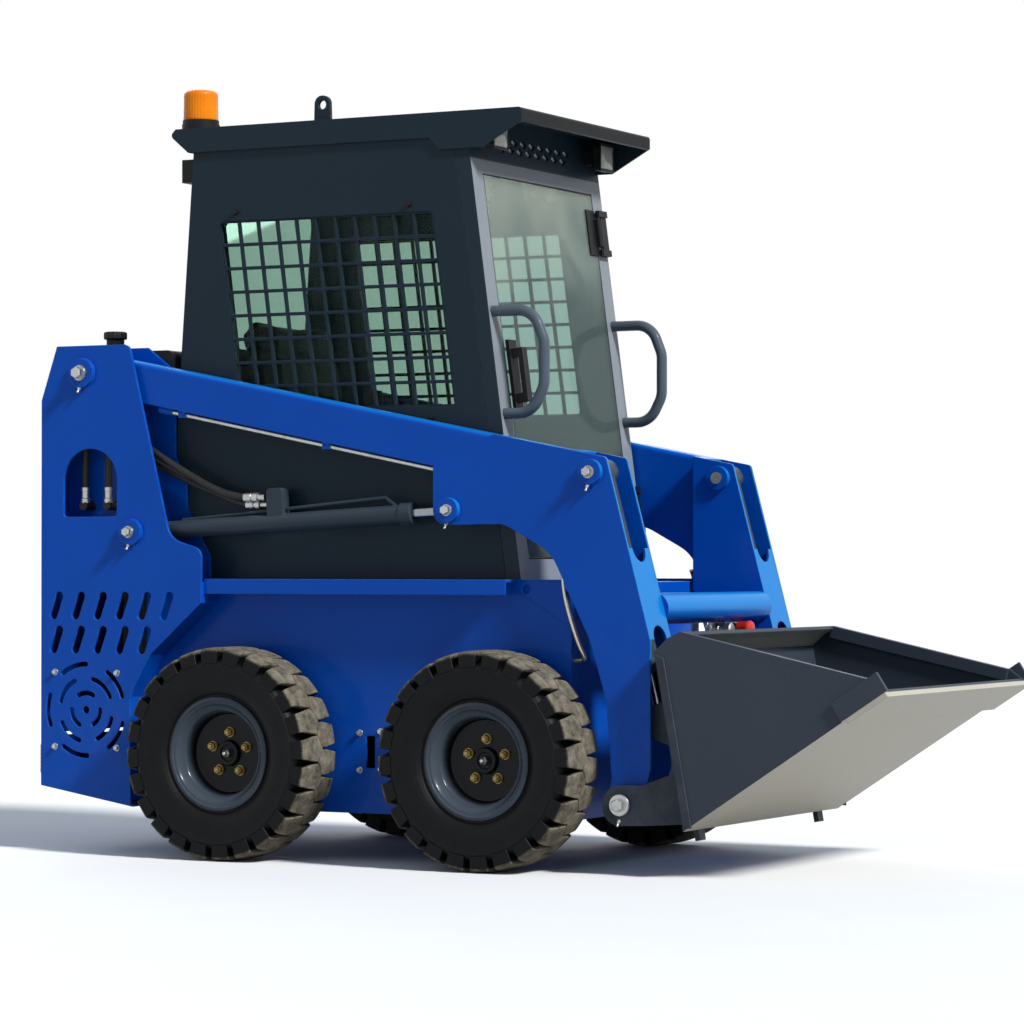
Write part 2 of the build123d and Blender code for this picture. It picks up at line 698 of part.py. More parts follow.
def lift_arm():
    hub = cross_pin(PIVOT, 62, ARM_IN, ARM_OUT)
    x0 = PIVOT[0] + 10
    beam = slab([(x0, beam_top(x0)), (LEG_X + 10, beam_top(LEG_X + 10)), (LEG_X + 10, beam_low(LEG_X + 10)),
                 (x0, beam_low(x0))], ARM_IN, ARM_OUT)
    beam = fillet(beam.edges().filter_by(lambda e: abs(e.length) > 1000).sort_by(Axis.Z)[-2:], 14)
    drop = [(213, 1100), (213, 924, 40), (430, 926, 90), (572, 850, 120)]
    plate = slab([*drop, (688, 618, 200), (736, 461, 200), (753, 251), (HINGE[0] - 52, HINGE[1]),
                  (HINGE[0] - 40, HINGE[1] - 44, 30), (HINGE[0] + 40, HINGE[1] - 44, 30), (865, 280, 40),
                  (865, 620, 60), (736, beam_top(736), 12), (400, beam_top(400))],
                 ARM_OUT - PLATE, ARM_OUT)
    web = slab([*drop, (LEG_X, 770), (LEG_X, 1040)], ARM_IN, ARM_IN + PLATE)
    inner = slab([(LEG_X, 745), (688, 618, 60), (736, 461, 200), (753, 251), (HINGE[0] - 52, HINGE[1]),
                  (HINGE[0] - 40, HINGE[1] - 44, 30), (HINGE[0] + 40, HINGE[1] - 44, 30), (865, 280, 40),
                  (865, 620, 60), (736, beam_top(736), 12), (LEG_X, beam_top(LEG_X))], LEG_IN, LEG_IN + PLATE)
    wall = block(LEG_X, LEG_X + 10, LEG_IN, ARM_OUT - 1, 748, 1110)
    roof = strip([(LEG_X, beam_top(LEG_X)), (ROOF_END, beam_top(ROOF_END))], -PLATE, LEG_IN, ARM_OUT - 1)
    face = strip([(800, 861), (865, 620)], -PLATE, LEG_IN, ARM_OUT - 1)
    arch = strip([(430, 926), (572, 850), (LEG_X + 10, 775)], PLATE, ARM_IN, ARM_OUT - 1)
    arm = hub + beam + plate + web + inner + wall + roof + face + arch + hard_line()
    for z0 in ((800, 861), (865, 620)):
        arm -= bar((z0[0] - 60, z0[1] - 16), (z0[0] + 60, z0[1] + 16), 0, 120, 38, TILT_Y)
    for at in (TILT_BASE, LIFT_EYE):
        arm += cross_pin(at, PIN_R + 17, ARM_OUT - 1, ARM_OUT + 14)
    arm += cross_pin(TILT_BASE, PIN_R + 17, LEG_IN - 13, LEG_IN + 1)
    arm -= cross_pin(PIVOT, PIVOT_R + RUN, ARM_IN - 1, ARM_OUT + 1)
    arm -= cross_pin(TILT_BASE, PIN_R + RUN, LEG_IN - 20, ARM_OUT + 20)
    arm -= cross_pin(HINGE, PIN_R + RUN, LEG_IN - 20, ARM_OUT + 20)
    return arm


CROSS_AT = (815, 700)
CROSS_R = 42


def arm_cross_tube():
    return cross_pin(CROSS_AT, CROSS_R, -LEG_IN, LEG_IN)


def arm_pins():
    solids = []
    for side in (1, -1):
        low, high = LEG_IN - 18, ARM_OUT + 20
        y0, y1 = sorted((side * low, side * high))
        solids.append(cross_pin(TILT_BASE, PIN_R, y0, y1))
    return solids


# Hydraulic cylinders

def barrel(base, eye, y, r, length, rod_r, eye_r, eye_w):
    solid = cross_pin(base, eye_r, y - eye_w / 2, y + eye_w / 2) + bar(base, eye, 12, length, r, y)
    solid += bar(base, eye, length - 36, length, r + 5, y)
    solid -= bar(base, eye, 46, length + 1, rod_r + RUN, y)
    return solid - cross_pin(base, PIN_R + RUN, y - eye_w, y + eye_w)


def piston_rod(base, eye, y, rod_r, start, eye_r, eye_w):
    length = hypot(eye[0] - base[0], eye[1] - base[1])
    solid = bar(base, eye, start, length, rod_r, y) + cross_pin(eye, eye_r, y - eye_w / 2, y + eye_w / 2)
    return solid + cross_pin(eye, PIN_R, y - eye_w / 2 - 3, y + eye_w / 2 + 3)


def pin_distance(a, b):
    return hypot(b[0] - a[0], b[1] - a[1])


# Bare rod between barrel end and rod eye with the arms down and the bucket rolled back
LIFT_ROD_OUT = 126
TILT_ROD_OUT = 131
LIFT_BARREL = pin_distance(LIFT_BASE, LIFT_EYE) - LIFT_ROD_OUT
TILT_BARREL = pin_distance(TILT_BASE, TILT_EYE) - TILT_ROD_OUT
PORT_AT = 454
PORT_SIZE = (36, 92, 52)
PORT_UP = 50
PIPE_R = 5


def beside(a, b, s, off):
    """Side position at distance s along the line from a to b and off above it."""
    d = Vector(b[0] - a[0], 0, b[1] - a[1]).normalized()
    return a[0] + d.X * s - d.Z * off, a[1] + d.Z * s + d.X * off


def lift_barrel():
    solid = barrel(LIFT_BASE, LIFT_EYE, LIFT_Y, 25, LIFT_BARREL, 15, 32, 40)
    port = on_line(LIFT_BASE, LIFT_EYE, PORT_AT) * Box(*PORT_SIZE)
    port = fillet(port.edges().filter_by(Axis.Y), 12)
    solid += Pos(0, LIFT_Y, 0) * Pos(0, 0, PORT_UP) * port
    for spots in (((140, 26), (PORT_AT - 30, 34)), ((PORT_AT + 30, 36), (806, 48)), ((802, 49), (838, 20))):
        solid += bar(*[beside(LIFT_BASE, LIFT_EYE, *p) for p in spots], 0,
                     pin_distance(*spots), PIPE_R, LIFT_Y)
    return solid - bar(LIFT_BASE, LIFT_EYE, 46, LIFT_BARREL + 1, 15 + RUN, LIFT_Y)


def lift_rod():
    return piston_rod(LIFT_BASE, LIFT_EYE, LIFT_Y, 15, 60, 30, 36)


def tilt_barrel():
    return barrel(TILT_BASE, TILT_EYE, TILT_Y, 31, TILT_BARREL, 16, 36, 50)


def tilt_rod():
    return piston_rod(TILT_BASE, TILT_EYE, TILT_Y, 16, 60, 30, 38)


# Bucket and its carrier

BUCKET_Y = 512
BACK_LOW = (982, 125)
BACK_HIGH = (899, 590)
LIP = (1545, 494)
SHEET = 10
EDGE = 14
CARRIER = 12
WEDGE_Y = 395


CUTTER = 10
CUTTER_H = 55
CUTTER_L = 150
RAIL = 14
BACK_TOP = [(936, 625), (974, 643)]
SIDE_TOP = (1500, 528)


def bucket_shell():
    path = [LIP, BACK_LOW, BACK_HIGH, *BACK_TOP]
    shell = strip(path, -SHEET, -BUCKET_Y + 1, BUCKET_Y - 1)
    side = slab([BACK_LOW, BACK_HIGH, *BACK_TOP, SIDE_TOP, LIP], BUCKET_Y - SHEET, BUCKET_Y)
    rail = strip([BACK_TOP[1], SIDE_TOP], -34, BUCKET_Y - SHEET - RAIL, BUCKET_Y - SHEET + 1)
    ends = [beside(LIP, BACK_LOW, s, -RUN) for s in (-12, CUTTER_L - 12)]
    cutter = strip(ends, -CUTTER_H, BUCKET_Y - 1, BUCKET_Y + CUTTER)
    for s in both(side + rail + cutter):
        shell += s
    return shell


def cutting_edge():
    d = Vector(LIP[0] - BACK_LOW[0], 0, LIP[1] - BACK_LOW[1]).normalized()
    tip_x = X_FRONT - EDGE * d.Z
    tip = Vector(tip_x, 0, LIP[1] + (tip_x - LIP[0]) * d.Z / d.X)
    root = tip - d * 130
    return strip([(tip.X, tip.Z), (root.X, root.Z)], EDGE, -BUCKET_Y - CUTTER, BUCKET_Y + CUTTER)


def bucket_carrier():
    plate = strip([BACK_LOW, BACK_HIGH], CARRIER, -487, 487)
    plate &= block(700, 1100, -500, 500, 140, 590)
    d = Vector(BACK_HIGH[0] - BACK_LOW[0], 0, BACK_HIGH[1] - BACK_LOW[1]).normalized()

    def back(z, off):
        x = BACK_LOW[0] + (z - BACK_LOW[1]) * d.X / d.Z - off
        return x, z

    ear = [back(275, 6), (HINGE[0] + 60, 240, 60), (HINGE[0], 238, 40), (HINGE[0] - 54, 236, 50),
           (HINGE[0] - 54, 130, 50), (HINGE[0] + 60, 134, 40), back(142, 6)]
    lug = [back(470, 6), (TILT_EYE[0] - 30, TILT_EYE[1] + 36, 30), (TILT_EYE[0] - 34, TILT_EYE[1] - 34, 30),
           back(330, 6)]
    for y0, y1 in ((475, 487), (315, 327)):
        for s in both(slab(ear, y0, y1)):
            plate += s
    for y0, y1 in ((TILT_Y - 35, TILT_Y - 25), (TILT_Y + 25, TILT_Y + 35)):
        for s in both(slab(lug, y0, y1)):
            plate += s
    low, high = back(160, 4), back(96, 4)
    for s in both(strip([low, high], -14, WEDGE_Y - 22, WEDGE_Y + 14)):
        plate += s
    for s in both(cross_pin(HINGE, PIN_R + RUN, 300, 500)):
        plate -= s
    return plate


def bucket_pins():
    return [cross_pin(HINGE, PIN_R, 308, 496), cross_pin(HINGE, PIN_R, -496, -308)]


# Wheels

def facet_ring(profile, count):
    """Turns a closed profile of (radius, distance from middle) about Y in flat facets."""
    def spot(p, i):
        a = 2 * pi * (i % count) / count
        return Vector(p[0] * cos(a), p[1], p[0] * sin(a))

    faces = []
    for p, q in zip(profile, [*profile[1:], profile[0]]):
        for i in range(count):
            quad = [spot(p, i), spot(q, i), spot(q, i + 1), spot(p, i + 1)]
            loop = []
            for v in quad:
                if all((v - w).length > 1e-6 for w in loop):
                    loop.append(v)
            if len(loop) > 2:
                faces.append(Face(Wire.make_polygon(loop)))
    return Solid(Shell(faces))


LUGS = 24
LUG_ROOT = TYRE_R - 31
LUG_W = 58
LUG_SLANT = 16
LUG_TOP = (TYRE_R ** 2 - (LUG_W / 2 + LUG_SLANT) ** 2) ** 0.5
SHOULDER = 12


def tread_lug(side, turn):
    """One tread block, square at the shoulder and slanted towards the middle of the tread."""
    w = LUG_W / 2
    end = TYRE_W / 2 - 1
    spots = [(-w, side * end), (w, side * end), (w + LUG_SLANT, side * 3), (-w + LUG_SLANT, side * 3)]
    foot = make_face(Polyline(*[(LUG_ROOT - 14, y, u) for u, y in spots], close=True))
    lug = extrude(foot, amount=LUG_TOP - LUG_ROOT + 14, dir=(1, 0, 0))
    corner = [(LUG_ROOT - 28, side * (end + 3)), (LUG_TOP + 1, side * (end + 3)),
              (LUG_TOP + 1, side * (end - SHOULDER))]
    slope = make_face(Polyline(*[(r, y, -TYRE_W) for r, y in corner], close=True))
    lug -= extrude(slope, amount=2 * TYRE_W, dir=(0, 0, 1))
    return Rot(0, -turn, 0) * lug


def tyre():
    half = TYRE_W / 2
    wall = [(RIM_R + 1, 58), (FLANGE_R + 6, 62), (TYRE_R - 91, half), (LUG_ROOT, half)]
    core = facet_ring([*wall, *[(r, -y) for r, y in reversed(wall)]], LUGS)
    pitch = 360 / LUGS
    first = -pitch / 4 - degrees(atan2(LUG_W / 2 + LUG_SLANT, LUG_TOP))
    lugs = [tread_lug(side, first + pitch * (i + 0.25 * side)) for i in range(LUGS) for side in (1, -1)]
    return core.fuse(*lugs)


def turned(profile):
    """Closed profile of (radius, distance from the wheel's middle) turned about the axle."""
    return revolve(make_face(Polyline(*[(r, y, 0) for r, y in profile], close=True)), Axis.Y)


def rim():
    lip = RIM_R - 8
    shell = turned([(0, -26), (62, -26), (62, 16), (lip, 16), (lip, -66), (FLANGE_R, -68), (FLANGE_R, -60),
                    (RIM_R, -58), (RIM_R, 58), (FLANGE_R, 60), (FLANGE_R, 68), (FLANGE_R - 10, 68), (lip, 50),
                    (112, 28), (58, 28), (40, 40), (0, 40)])
    shaft = Cylinder(SHAFT_R, WHEEL_Y - 372 - 20, align=(Align.CENTER, Align.CENTER, Align.MIN))
    shaft = Rot(90, 0, 0) * shaft
    return shell + Pos(0, -20, 0) * shaft


def wheels():
    made = {"tyre": tyre(), "rim": rim()}
    for end, x in (("front", WHEELBASE / 2), ("rear", -WHEELBASE / 2)):
        for name, solid in made.items():
            left = Pos(x, WHEEL_Y, AXLE_Z) * solid
            save(f"{name}_{end}_left", [left])
            save(f"{name}_{end}_right", [other_side(left)])


def main():
    os.makedirs("parts", exist_ok=True)
    save("chassis_tub", [chassis_tub()])
    save("engine_block", [engine_block()])
    left = tower()
    save("tower_left", [left])
    save("tower_right", [other_side(left)])
    save("tower_pins", [s for pin in tower_pins() for s in both(pin)])
    save("tower_hoses", [s for x in HOSE_X for s in both(tower_hose(x))])
    save("fenders", both(fender()))
    save("axle_housings", [s for x in (-WHEELBASE / 2, WHEELBASE / 2) for s in both(axle_housing(x))])
    save("engine_hood", [engine_hood()])
    save("filler_cap", [filler_cap()])
    save("tail_lamps", both(tail_lamp()))
    save("rear_door", [rear_door()])
    save("rear_hinge_pins", rear_hinge_pins())
    left = cab_side()
    save("cab_side_left", [left])
    save("cab_side_right", [other_side(left)])
    save("cab_grilles", both(cab_grille()))
    save("cab_glass", [*both(side_glass()), rear_glass()])
    save("cab_rear", [cab_rear()])
    save("cab_front", [cab_front()])
    save("cab_header", [cab_header()])
    save("cab_roof", [cab_roof()])
    save("cab_floor", [cab_floor()])
    save("cab_door", [cab_door()])
    save("cab_door_hardware", door_hardware())
    save("cab_door_pins", door_pins())
    save("seat_base", [seat_base()])
    save("seat_cushion", [seat_cushion()])
    save("seat_back", [seat_back()])
    save("control_consoles", both(control_console()))
    save("grab_handles", both(grab_handle()))
    save("work_lamps", [*both(front_lamp()), *both(rear_lamp())])
    save("work_lamp_lenses", [*both(lamp_lens()), *both(rear_lens())])
    save("beacon_base", [beacon_base()])
    save("beacon_lens", [beacon_lens()])
    save("lifting_eyes", both(lifting_eye()))
    left = lift_arm()
    save("lift_arm_left", [left])
    save("lift_arm_right", [other_side(left)])
    save("arm_cross_tube", [arm_cross_tube()])
    save("arm_pins", arm_pins())
    for name, solid in (("lift_barrel", lift_barrel()), ("lift_rod", lift_rod()),
                        ("tilt_barrel", tilt_barrel()), ("tilt_rod", tilt_rod())):
        save(f"{name}_left", [solid])
        save(f"{name}_right", [other_side(solid)])
    save("bucket_shell", [bucket_shell()])
    save("cutting_edge", [cutting_edge()])
    save("bucket_carrier", [bucket_carrier()])
    save("bucket_pins", bucket_pins())
    wheels()


main()
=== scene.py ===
# %% [markdown]
# # A compact skid steer loader
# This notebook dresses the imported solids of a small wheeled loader: camera, light, finishes, and then the
# pieces that a solid model keeps plain, such as tyres, seat pads, hoses and bolts.
# Everything is in metres, in the frame of the solids, so a piece goes where the solid says.

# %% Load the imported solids
import json
import math
import bmesh
import bpy
from mathutils import Matrix, Vector


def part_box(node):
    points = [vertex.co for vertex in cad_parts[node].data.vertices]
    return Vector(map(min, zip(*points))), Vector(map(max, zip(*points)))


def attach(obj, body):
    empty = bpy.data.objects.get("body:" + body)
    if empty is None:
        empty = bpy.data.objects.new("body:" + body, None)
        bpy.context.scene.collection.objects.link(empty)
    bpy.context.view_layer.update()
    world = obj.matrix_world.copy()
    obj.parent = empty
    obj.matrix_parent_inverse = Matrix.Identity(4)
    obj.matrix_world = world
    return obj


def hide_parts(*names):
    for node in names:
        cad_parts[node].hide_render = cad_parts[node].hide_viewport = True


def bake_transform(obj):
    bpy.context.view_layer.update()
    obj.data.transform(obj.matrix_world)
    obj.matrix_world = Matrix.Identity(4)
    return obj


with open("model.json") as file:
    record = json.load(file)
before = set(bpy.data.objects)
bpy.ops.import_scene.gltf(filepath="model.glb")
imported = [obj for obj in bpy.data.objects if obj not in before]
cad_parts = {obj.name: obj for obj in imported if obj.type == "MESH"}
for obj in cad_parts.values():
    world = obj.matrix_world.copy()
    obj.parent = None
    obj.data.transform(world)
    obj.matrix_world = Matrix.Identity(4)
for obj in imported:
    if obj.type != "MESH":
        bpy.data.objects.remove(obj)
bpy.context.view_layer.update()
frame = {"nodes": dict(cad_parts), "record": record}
nodes = frame["nodes"]
finish_of = {part["node"]: part["material_slot"] for part in frame["record"]["subparts"]}
scene = bpy.context.scene

# %% [markdown]
# ## One helper for places
# The solids were drawn in millimetres with X = 0 midway between the axles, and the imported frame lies 231 mm
# further forward. One function takes a drawn place to metres, so each place below can be read off a drawing.

# %% Places
DRAWN_ZERO = 231
AXLE_X = 405
WHEEL_Y = 510
TYRE_R = 295
SIDES = (("left", 1), ("right", -1))


def at(x, y, z):
    """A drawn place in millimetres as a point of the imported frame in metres."""
    return Vector(((x - DRAWN_ZERO) / 1000, y / 1000, z / 1000))


print("the front left wheel turns about", at(AXLE_X, WHEEL_Y, TYRE_R))

# %% [markdown]
# ## Camera
# The photograph was taken from far away with a long lens, from the right and a little in front, at about the
# height of the seat. A long lens keeps the near and far wheels almost the same size.

# %% Camera
camera = bpy.data.objects.new("photo_camera", bpy.data.cameras.new("photo_camera"))
scene.collection.objects.link(camera)
camera.data.lens = 127.8
camera.data.sensor_width = 36
camera.location = at(5030.7, -9035.6, 824.6)
aim = at(207, 0, 965) - camera.location
camera.rotation_euler = aim.to_track_quat("-Z", "Y").to_euler()
scene.camera = camera
scene.view_settings.view_transform = "Standard"
print("camera stands", round(aim.length, 2), "m away")

# %% [markdown]
# ## Colour and shader nodes
# Paint colours are picked as hex values on a screen, in sRGB. The renderer works in linear light, so one
# function converts them. Another adds a shader node with its settings and links. A node that is handed to it
# as a value stands for that node's first output in use. Pattern sizes are in millimetres of the real surface.

# %% Colour and node helpers
def linear(code):
    """sRGB hex colour to linear red, green, blue and alpha."""
    parts = [int(code[i:i + 2], 16) / 255 for i in (1, 3, 5)]
    return (*[p / 12.92 if p <= 0.04045 else ((p + 0.055) / 1.055) ** 2.4 for p in parts], 1)


def wire(node, sockets):
    """Sets each named socket of a node to a value, or links it to an output or to another node."""
    for key, value in sockets.items():
        if isinstance(value, bpy.types.Node):
            value = next(output for output in value.outputs if output.enabled)
        if isinstance(value, bpy.types.NodeSocket):
            node.id_data.links.new(value, node.inputs[key])
        else:
            node.inputs[key].default_value = value


def add(tree, kind, sockets=None, **settings):
    """One node: settings are its properties, sockets are what goes into it."""
    made = tree.nodes.new("ShaderNode" + kind)
    for key, value in settings.items():
        setattr(made, key, value)
    wire(made, sockets or {})
    return made


def per_mm(size):
    """Texture scale at which a pattern repeats about every size millimetres."""
    return 1000 / size


def new_finish(name):
    """Empty material with its node tree and its main shader."""
    finish = bpy.data.materials.new(name)
    finish.use_nodes = True
    return finish, finish.node_tree, finish.node_tree.nodes["Principled BSDF"]


print("royal blue in linear light:", [round(v, 3) for v in linear("#0a46b4")])

# %% [markdown]
# ## Floor and light
# The photograph is lit by a high sun from the front right, and its background was cut away to white. A large
# pale floor, a soft sun at that angle, a weak lamp from behind and a bright sky give the same shadows. The
# sun grazes the near side: there, pin collars throw shadows three times as long as they stand proud.
# Rays from the camera, from gloss and through glass see a plain white sky and a pale floor. All others see a
# dimmer, bluer sky and a grey floor, so the white costs the object no contrast.

# %% Floor and light
world = bpy.data.worlds.new("studio")
scene.world = world
world.use_nodes = True
sky = world.node_tree
path = add(sky, "LightPath")
straight = {0: path.outputs["Is Camera Ray"], 1: path.outputs["Is Transmission Ray"]}
seen = add(sky, "Math", straight, operation="MAXIMUM")
seen = add(sky, "Math", {0: seen, 1: path.outputs["Is Glossy Ray"]}, operation="MAXIMUM")
level = add(sky, "MapRange", {"Value": seen, "To Min": 0.36, "To Max": 1.0})
fill = add(sky, "Mix", {0: seen, 6: linear("#d6e8ff"), 7: (1, 1, 1, 1)}, data_type="RGBA")
wire(sky.nodes["Background"], {"Strength": level, "Color": fill})

LAMPS = (("sun", 3.8, 9, (0.73, -0.2, 0.65)), ("back_fill", 0.7, 40, (-0.6, 0.7, 0.4)))
for name, power, angle, towards in LAMPS:
    lamp = bpy.data.objects.new(name, bpy.data.lights.new(name, "SUN"))
    lamp.data.energy = power
    lamp.data.angle = math.radians(angle)
    lamp.rotation_euler = Vector(towards).to_track_quat("Z", "Y").to_euler()
    scene.collection.objects.link(lamp)

floor_paint, tree, shader = new_finish("pale_floor")
place = add(tree, "TexCoord").outputs["Object"]
speck = add(tree, "TexNoise", {"Vector": place, "Scale": per_mm(400), "Detail": 4})
tone = add(tree, "Mix", {0: speck, 6: linear("#f2f2f1"), 7: linear("#f6f6f5")}, data_type="RGBA")
diffuse_ray = add(tree, "LightPath").outputs["Is Diffuse Ray"]
bounced = add(tree, "Mix", {0: diffuse_ray, 6: tone, 7: linear("#b4b3b0")}, data_type="RGBA")
wire(shader, {"Base Color": bounced, "Roughness": 0.9, "Specular IOR Level": 0.1})
bpy.ops.mesh.primitive_plane_add(size=120)
floor = bpy.context.object
floor.name = "studio_floor"
floor.data.materials.append(floor_paint)

# %% [markdown]
# ## Paint
# The machine is sprayed: gloss blue on the frame and arms, satin charcoal on cab and bucket, and on the door
# posts, whose fronts are painted pale grey as sunlight. Arm faces turned to the sun are painted paler, and
# the visor's front is painted dark as shade. All have the same build, so one recipe serves them with other
# numbers. A broad cloud shifts the tone, a fine one is the orange peel of a sprayed coat, the edge of each
# plate is a little rounded and rubbed paler, which also paints its highlight, and dust gathers low down and
# on top faces.

# %% Paint recipe
def paint(name, colour, deep, rubbed_and_glint, rough, coat, peel_mm, peel, dust, wear, flank=None, facing_light=None):
    """Sprayed coat with orange peel, worn edges that also paint highlights, and dust.

    flank is another colour for faces turned sideways.
    facing_light is another colour, and the way that its faces look: painted sunlight on the arms, painted
    shade on the visor's front."""
    finish, tree, shader = new_finish(name)
    coords = add(tree, "TexCoord")
    place = coords.outputs["Object"]
    cloud = add(tree, "TexNoise", {"Vector": place, "Scale": per_mm(420), "Detail": 5, "Roughness": 0.6})
    skin = add(tree, "TexNoise", {"Vector": place, "Scale": per_mm(peel_mm), "Detail": 2})
    body = add(tree, "Mix", {0: cloud, 6: linear(colour), 7: linear(deep)}, data_type="RGBA")
    if flank:
        sideways = add(tree, "SeparateXYZ", {0: add(tree, "NewGeometry").outputs["True Normal"]})
        across = add(tree, "Math", {0: sideways.outputs["Y"]}, operation="ABSOLUTE")
        mask = add(tree, "Math", {0: across, 1: 0.7}, operation="GREATER_THAN")
        body = add(tree, "Mix", {0: mask, 6: body, 7: linear(flank)}, data_type="RGBA")
    if facing_light:
        # faces that look the given way take the given colour: painted sunlight on the arms, painted shade on
        # the visor's front
        tint, way = facing_light
        facing = add(tree, "VectorMath", {0: coords.outputs["Normal"], 1: way}, operation="DOT_PRODUCT")
        light_share = add(tree, "MapRange", {"Value": facing, "From Min": 0.3, "From Max": 0.9})
        body = add(tree, "Mix", {0: light_share, 6: body, 7: linear(tint)}, data_type="RGBA")
    # the bevel normal turns only near an edge, so where it differs from the flat one there is an edge
    soft = add(tree, "Bevel", {"Radius": 0.004}, samples=4)
    flat = add(tree, "NewGeometry")
    same = add(tree, "VectorMath", {0: soft, 1: flat.outputs["True Normal"]}, operation="DOT_PRODUCT")
    edge = add(tree, "MapRange", {"Value": same, "From Min": 0.995, "From Max": 0.8})
    scuff = add(tree, "TexNoise", {"Vector": place, "Scale": per_mm(35), "Detail": 6, "Roughness": 0.7})
    worn = add(tree, "MapRange", {"Value": scuff, "From Min": 0.42, "From Max": 0.62, "To Max": wear})
    rub = add(tree, "Math", {0: edge, 1: worn}, operation="MULTIPLY")
    # worn edges turn paler, and the same paler edge also paints the highlight that light puts on a plate edge
    wear_and_glint_edged = add(tree, "Mix", {0: rub, 6: body, 7: linear(rubbed_and_glint)}, data_type="RGBA")
    height = add(tree, "SeparateXYZ", {0: place})
    low = add(tree, "MapRange", {"Value": height.outputs["Z"], "From Min": 0.75, "From Max": 0.1})
    upward = add(tree, "SeparateXYZ", {0: flat.outputs["Normal"]})
    rise = upward.outputs["Z"]
    top = add(tree, "MapRange", {"Value": rise, "From Min": 0.6, "From Max": 1.0, "To Max": 0.6})
    settled = add(tree, "Math", {0: low, 1: top}, operation="MAXIMUM")
    film = add(tree, "TexNoise", {"Vector": place, "Scale": per_mm(90), "Detail": 8, "Roughness": 0.75})
    drift = add(tree, "MapRange", {"Value": film, "From Min": 0.4, "From Max": 0.75, "To Max": dust})
    dirty = add(tree, "Math", {0: settled, 1: drift}, operation="MULTIPLY")
    coated = add(tree, "Mix", {0: dirty, 6: wear_and_glint_edged, 7: linear("#a39c8e")}, data_type="RGBA")
    dull = add(tree, "MapRange", {"Value": dirty, "To Min": rough, "To Max": 0.8})
    vary = add(tree, "MapRange", {"Value": cloud, "To Min": -0.05, "To Max": 0.07})
    matte = add(tree, "Math", {0: dull, 1: vary})
    bump = add(tree, "Bump", {"Height": skin, "Normal": soft, "Strength": peel, "Distance": 0.001})
    # this studio is whiter than the places where a loader works, so the paint mirrors less of it
    wire(shader, {"Base Color": coated, "Roughness": matte, "Normal": bump, "Coat Weight": coat,
                  "Coat Roughness": 0.08, "Specular IOR Level": 0.1})
    return finish


print("paint recipe ready")

# %% Paints
# two tones of a coat and the colour of its rubbed edges, which also paints their highlights
BLUES = ("#0052bc", "#0047ac", "#4a9ae6")
ENAMEL = {"rough": 0.28, "coat": 0.06, "peel_mm": 6, "peel": 0.05, "dust": 0.06, "wear": 0.6}
# gloss enamel: deep blue that carries soft reflections, with paler plate edges, worn and painted as
# highlights
blue_enamel = paint("blue_gloss_enamel", *BLUES, **ENAMEL)
# the same on the arms, with painted sunlight: faces turned up and forward, toward the sun, are painted paler
# and greener
arm_enamel_painted_sun = paint("arm_enamel_with_painted_sunlight", *BLUES, **ENAMEL, facing_light=("#0079c4", (0.8, 0, 0.6)))

CHARCOALS = ("#1f2f39", "#1a2933", "#46555f")
POWDER = {"rough": 0.42, "coat": 0.04, "peel_mm": 4, "peel": 0.12, "dust": 0.12, "wear": 0.2}
# powder coat: satin, faintly grainy, blue-grey charcoal
charcoal_coat = paint("charcoal_powder_coat", *CHARCOALS, **POWDER)
# the roof has the same coat, and the front face of its visor is painted near black as shade, where the real
# visor slopes down out of the light
roof_coat_painted_shade = paint("roof_charcoal_coat_painted_shade_in_front", *CHARCOALS, **POWDER, facing_light=("#07090b", (1, 0, 0)))
BUCKET_CHARCOALS = ("#373f4b", "#2e3641")
# the bucket's coat is the same kind, a little paler from handling
bucket_coat = paint("bucket_charcoal_coat", *BUCKET_CHARCOALS, "#74797d",
                    rough=0.45, coat=0.05, peel_mm=4, peel=0.1, dust=0.15, wear=0.5)
# door posts: satin charcoal paint, kept on the flanks; the pale grey in front is painted sunlight glancing
# off it
post_paint_sunlit_front = paint("door_post_paint_with_painted_sunlight_in_front", "#868c92", "#787f86", "#b4b8bb",
                  rough=0.4, coat=0.1, peel_mm=5, peel=0.06, dust=0.12, wear=0.2, flank="#1e2d37")
# cylinder tubes: one thick brushed coat of grey
cylinder_grey = paint("cylinder_grey_paint", "#36424c", "#2d3842", "#66717a",
                      rough=0.36, coat=0.1, peel_mm=8, peel=0.08, dust=0.1, wear=0.4)
# handles: satin grey, rubbed by hands; the paler edges also paint highlights
handle_grey = paint("handle_grey_paint", "#56626b", "#48535c", "#8d969c",
                    rough=0.35, coat=0.1, peel_mm=6, peel=0.05, dust=0.05, wear=0.5)
painted = (blue_enamel, arm_enamel_painted_sun, charcoal_coat, roof_coat_painted_shade, bucket_coat, post_paint_sunlit_front, cylinder_grey,
           handle_grey)
print("paints:", [m.name for m in painted])

# %% [markdown]
# ## Bare and plated metal
# Pins are zinc plated, wheel nuts are yellow zinc, piston rods are hard chrome, and the bucket's edge and
# underside are bare plate that sand keeps scoured. A metal's colour is its reflection, so these are metallic
# with grain in the roughness. The scoured plate also holds beige dust, which is not metallic.

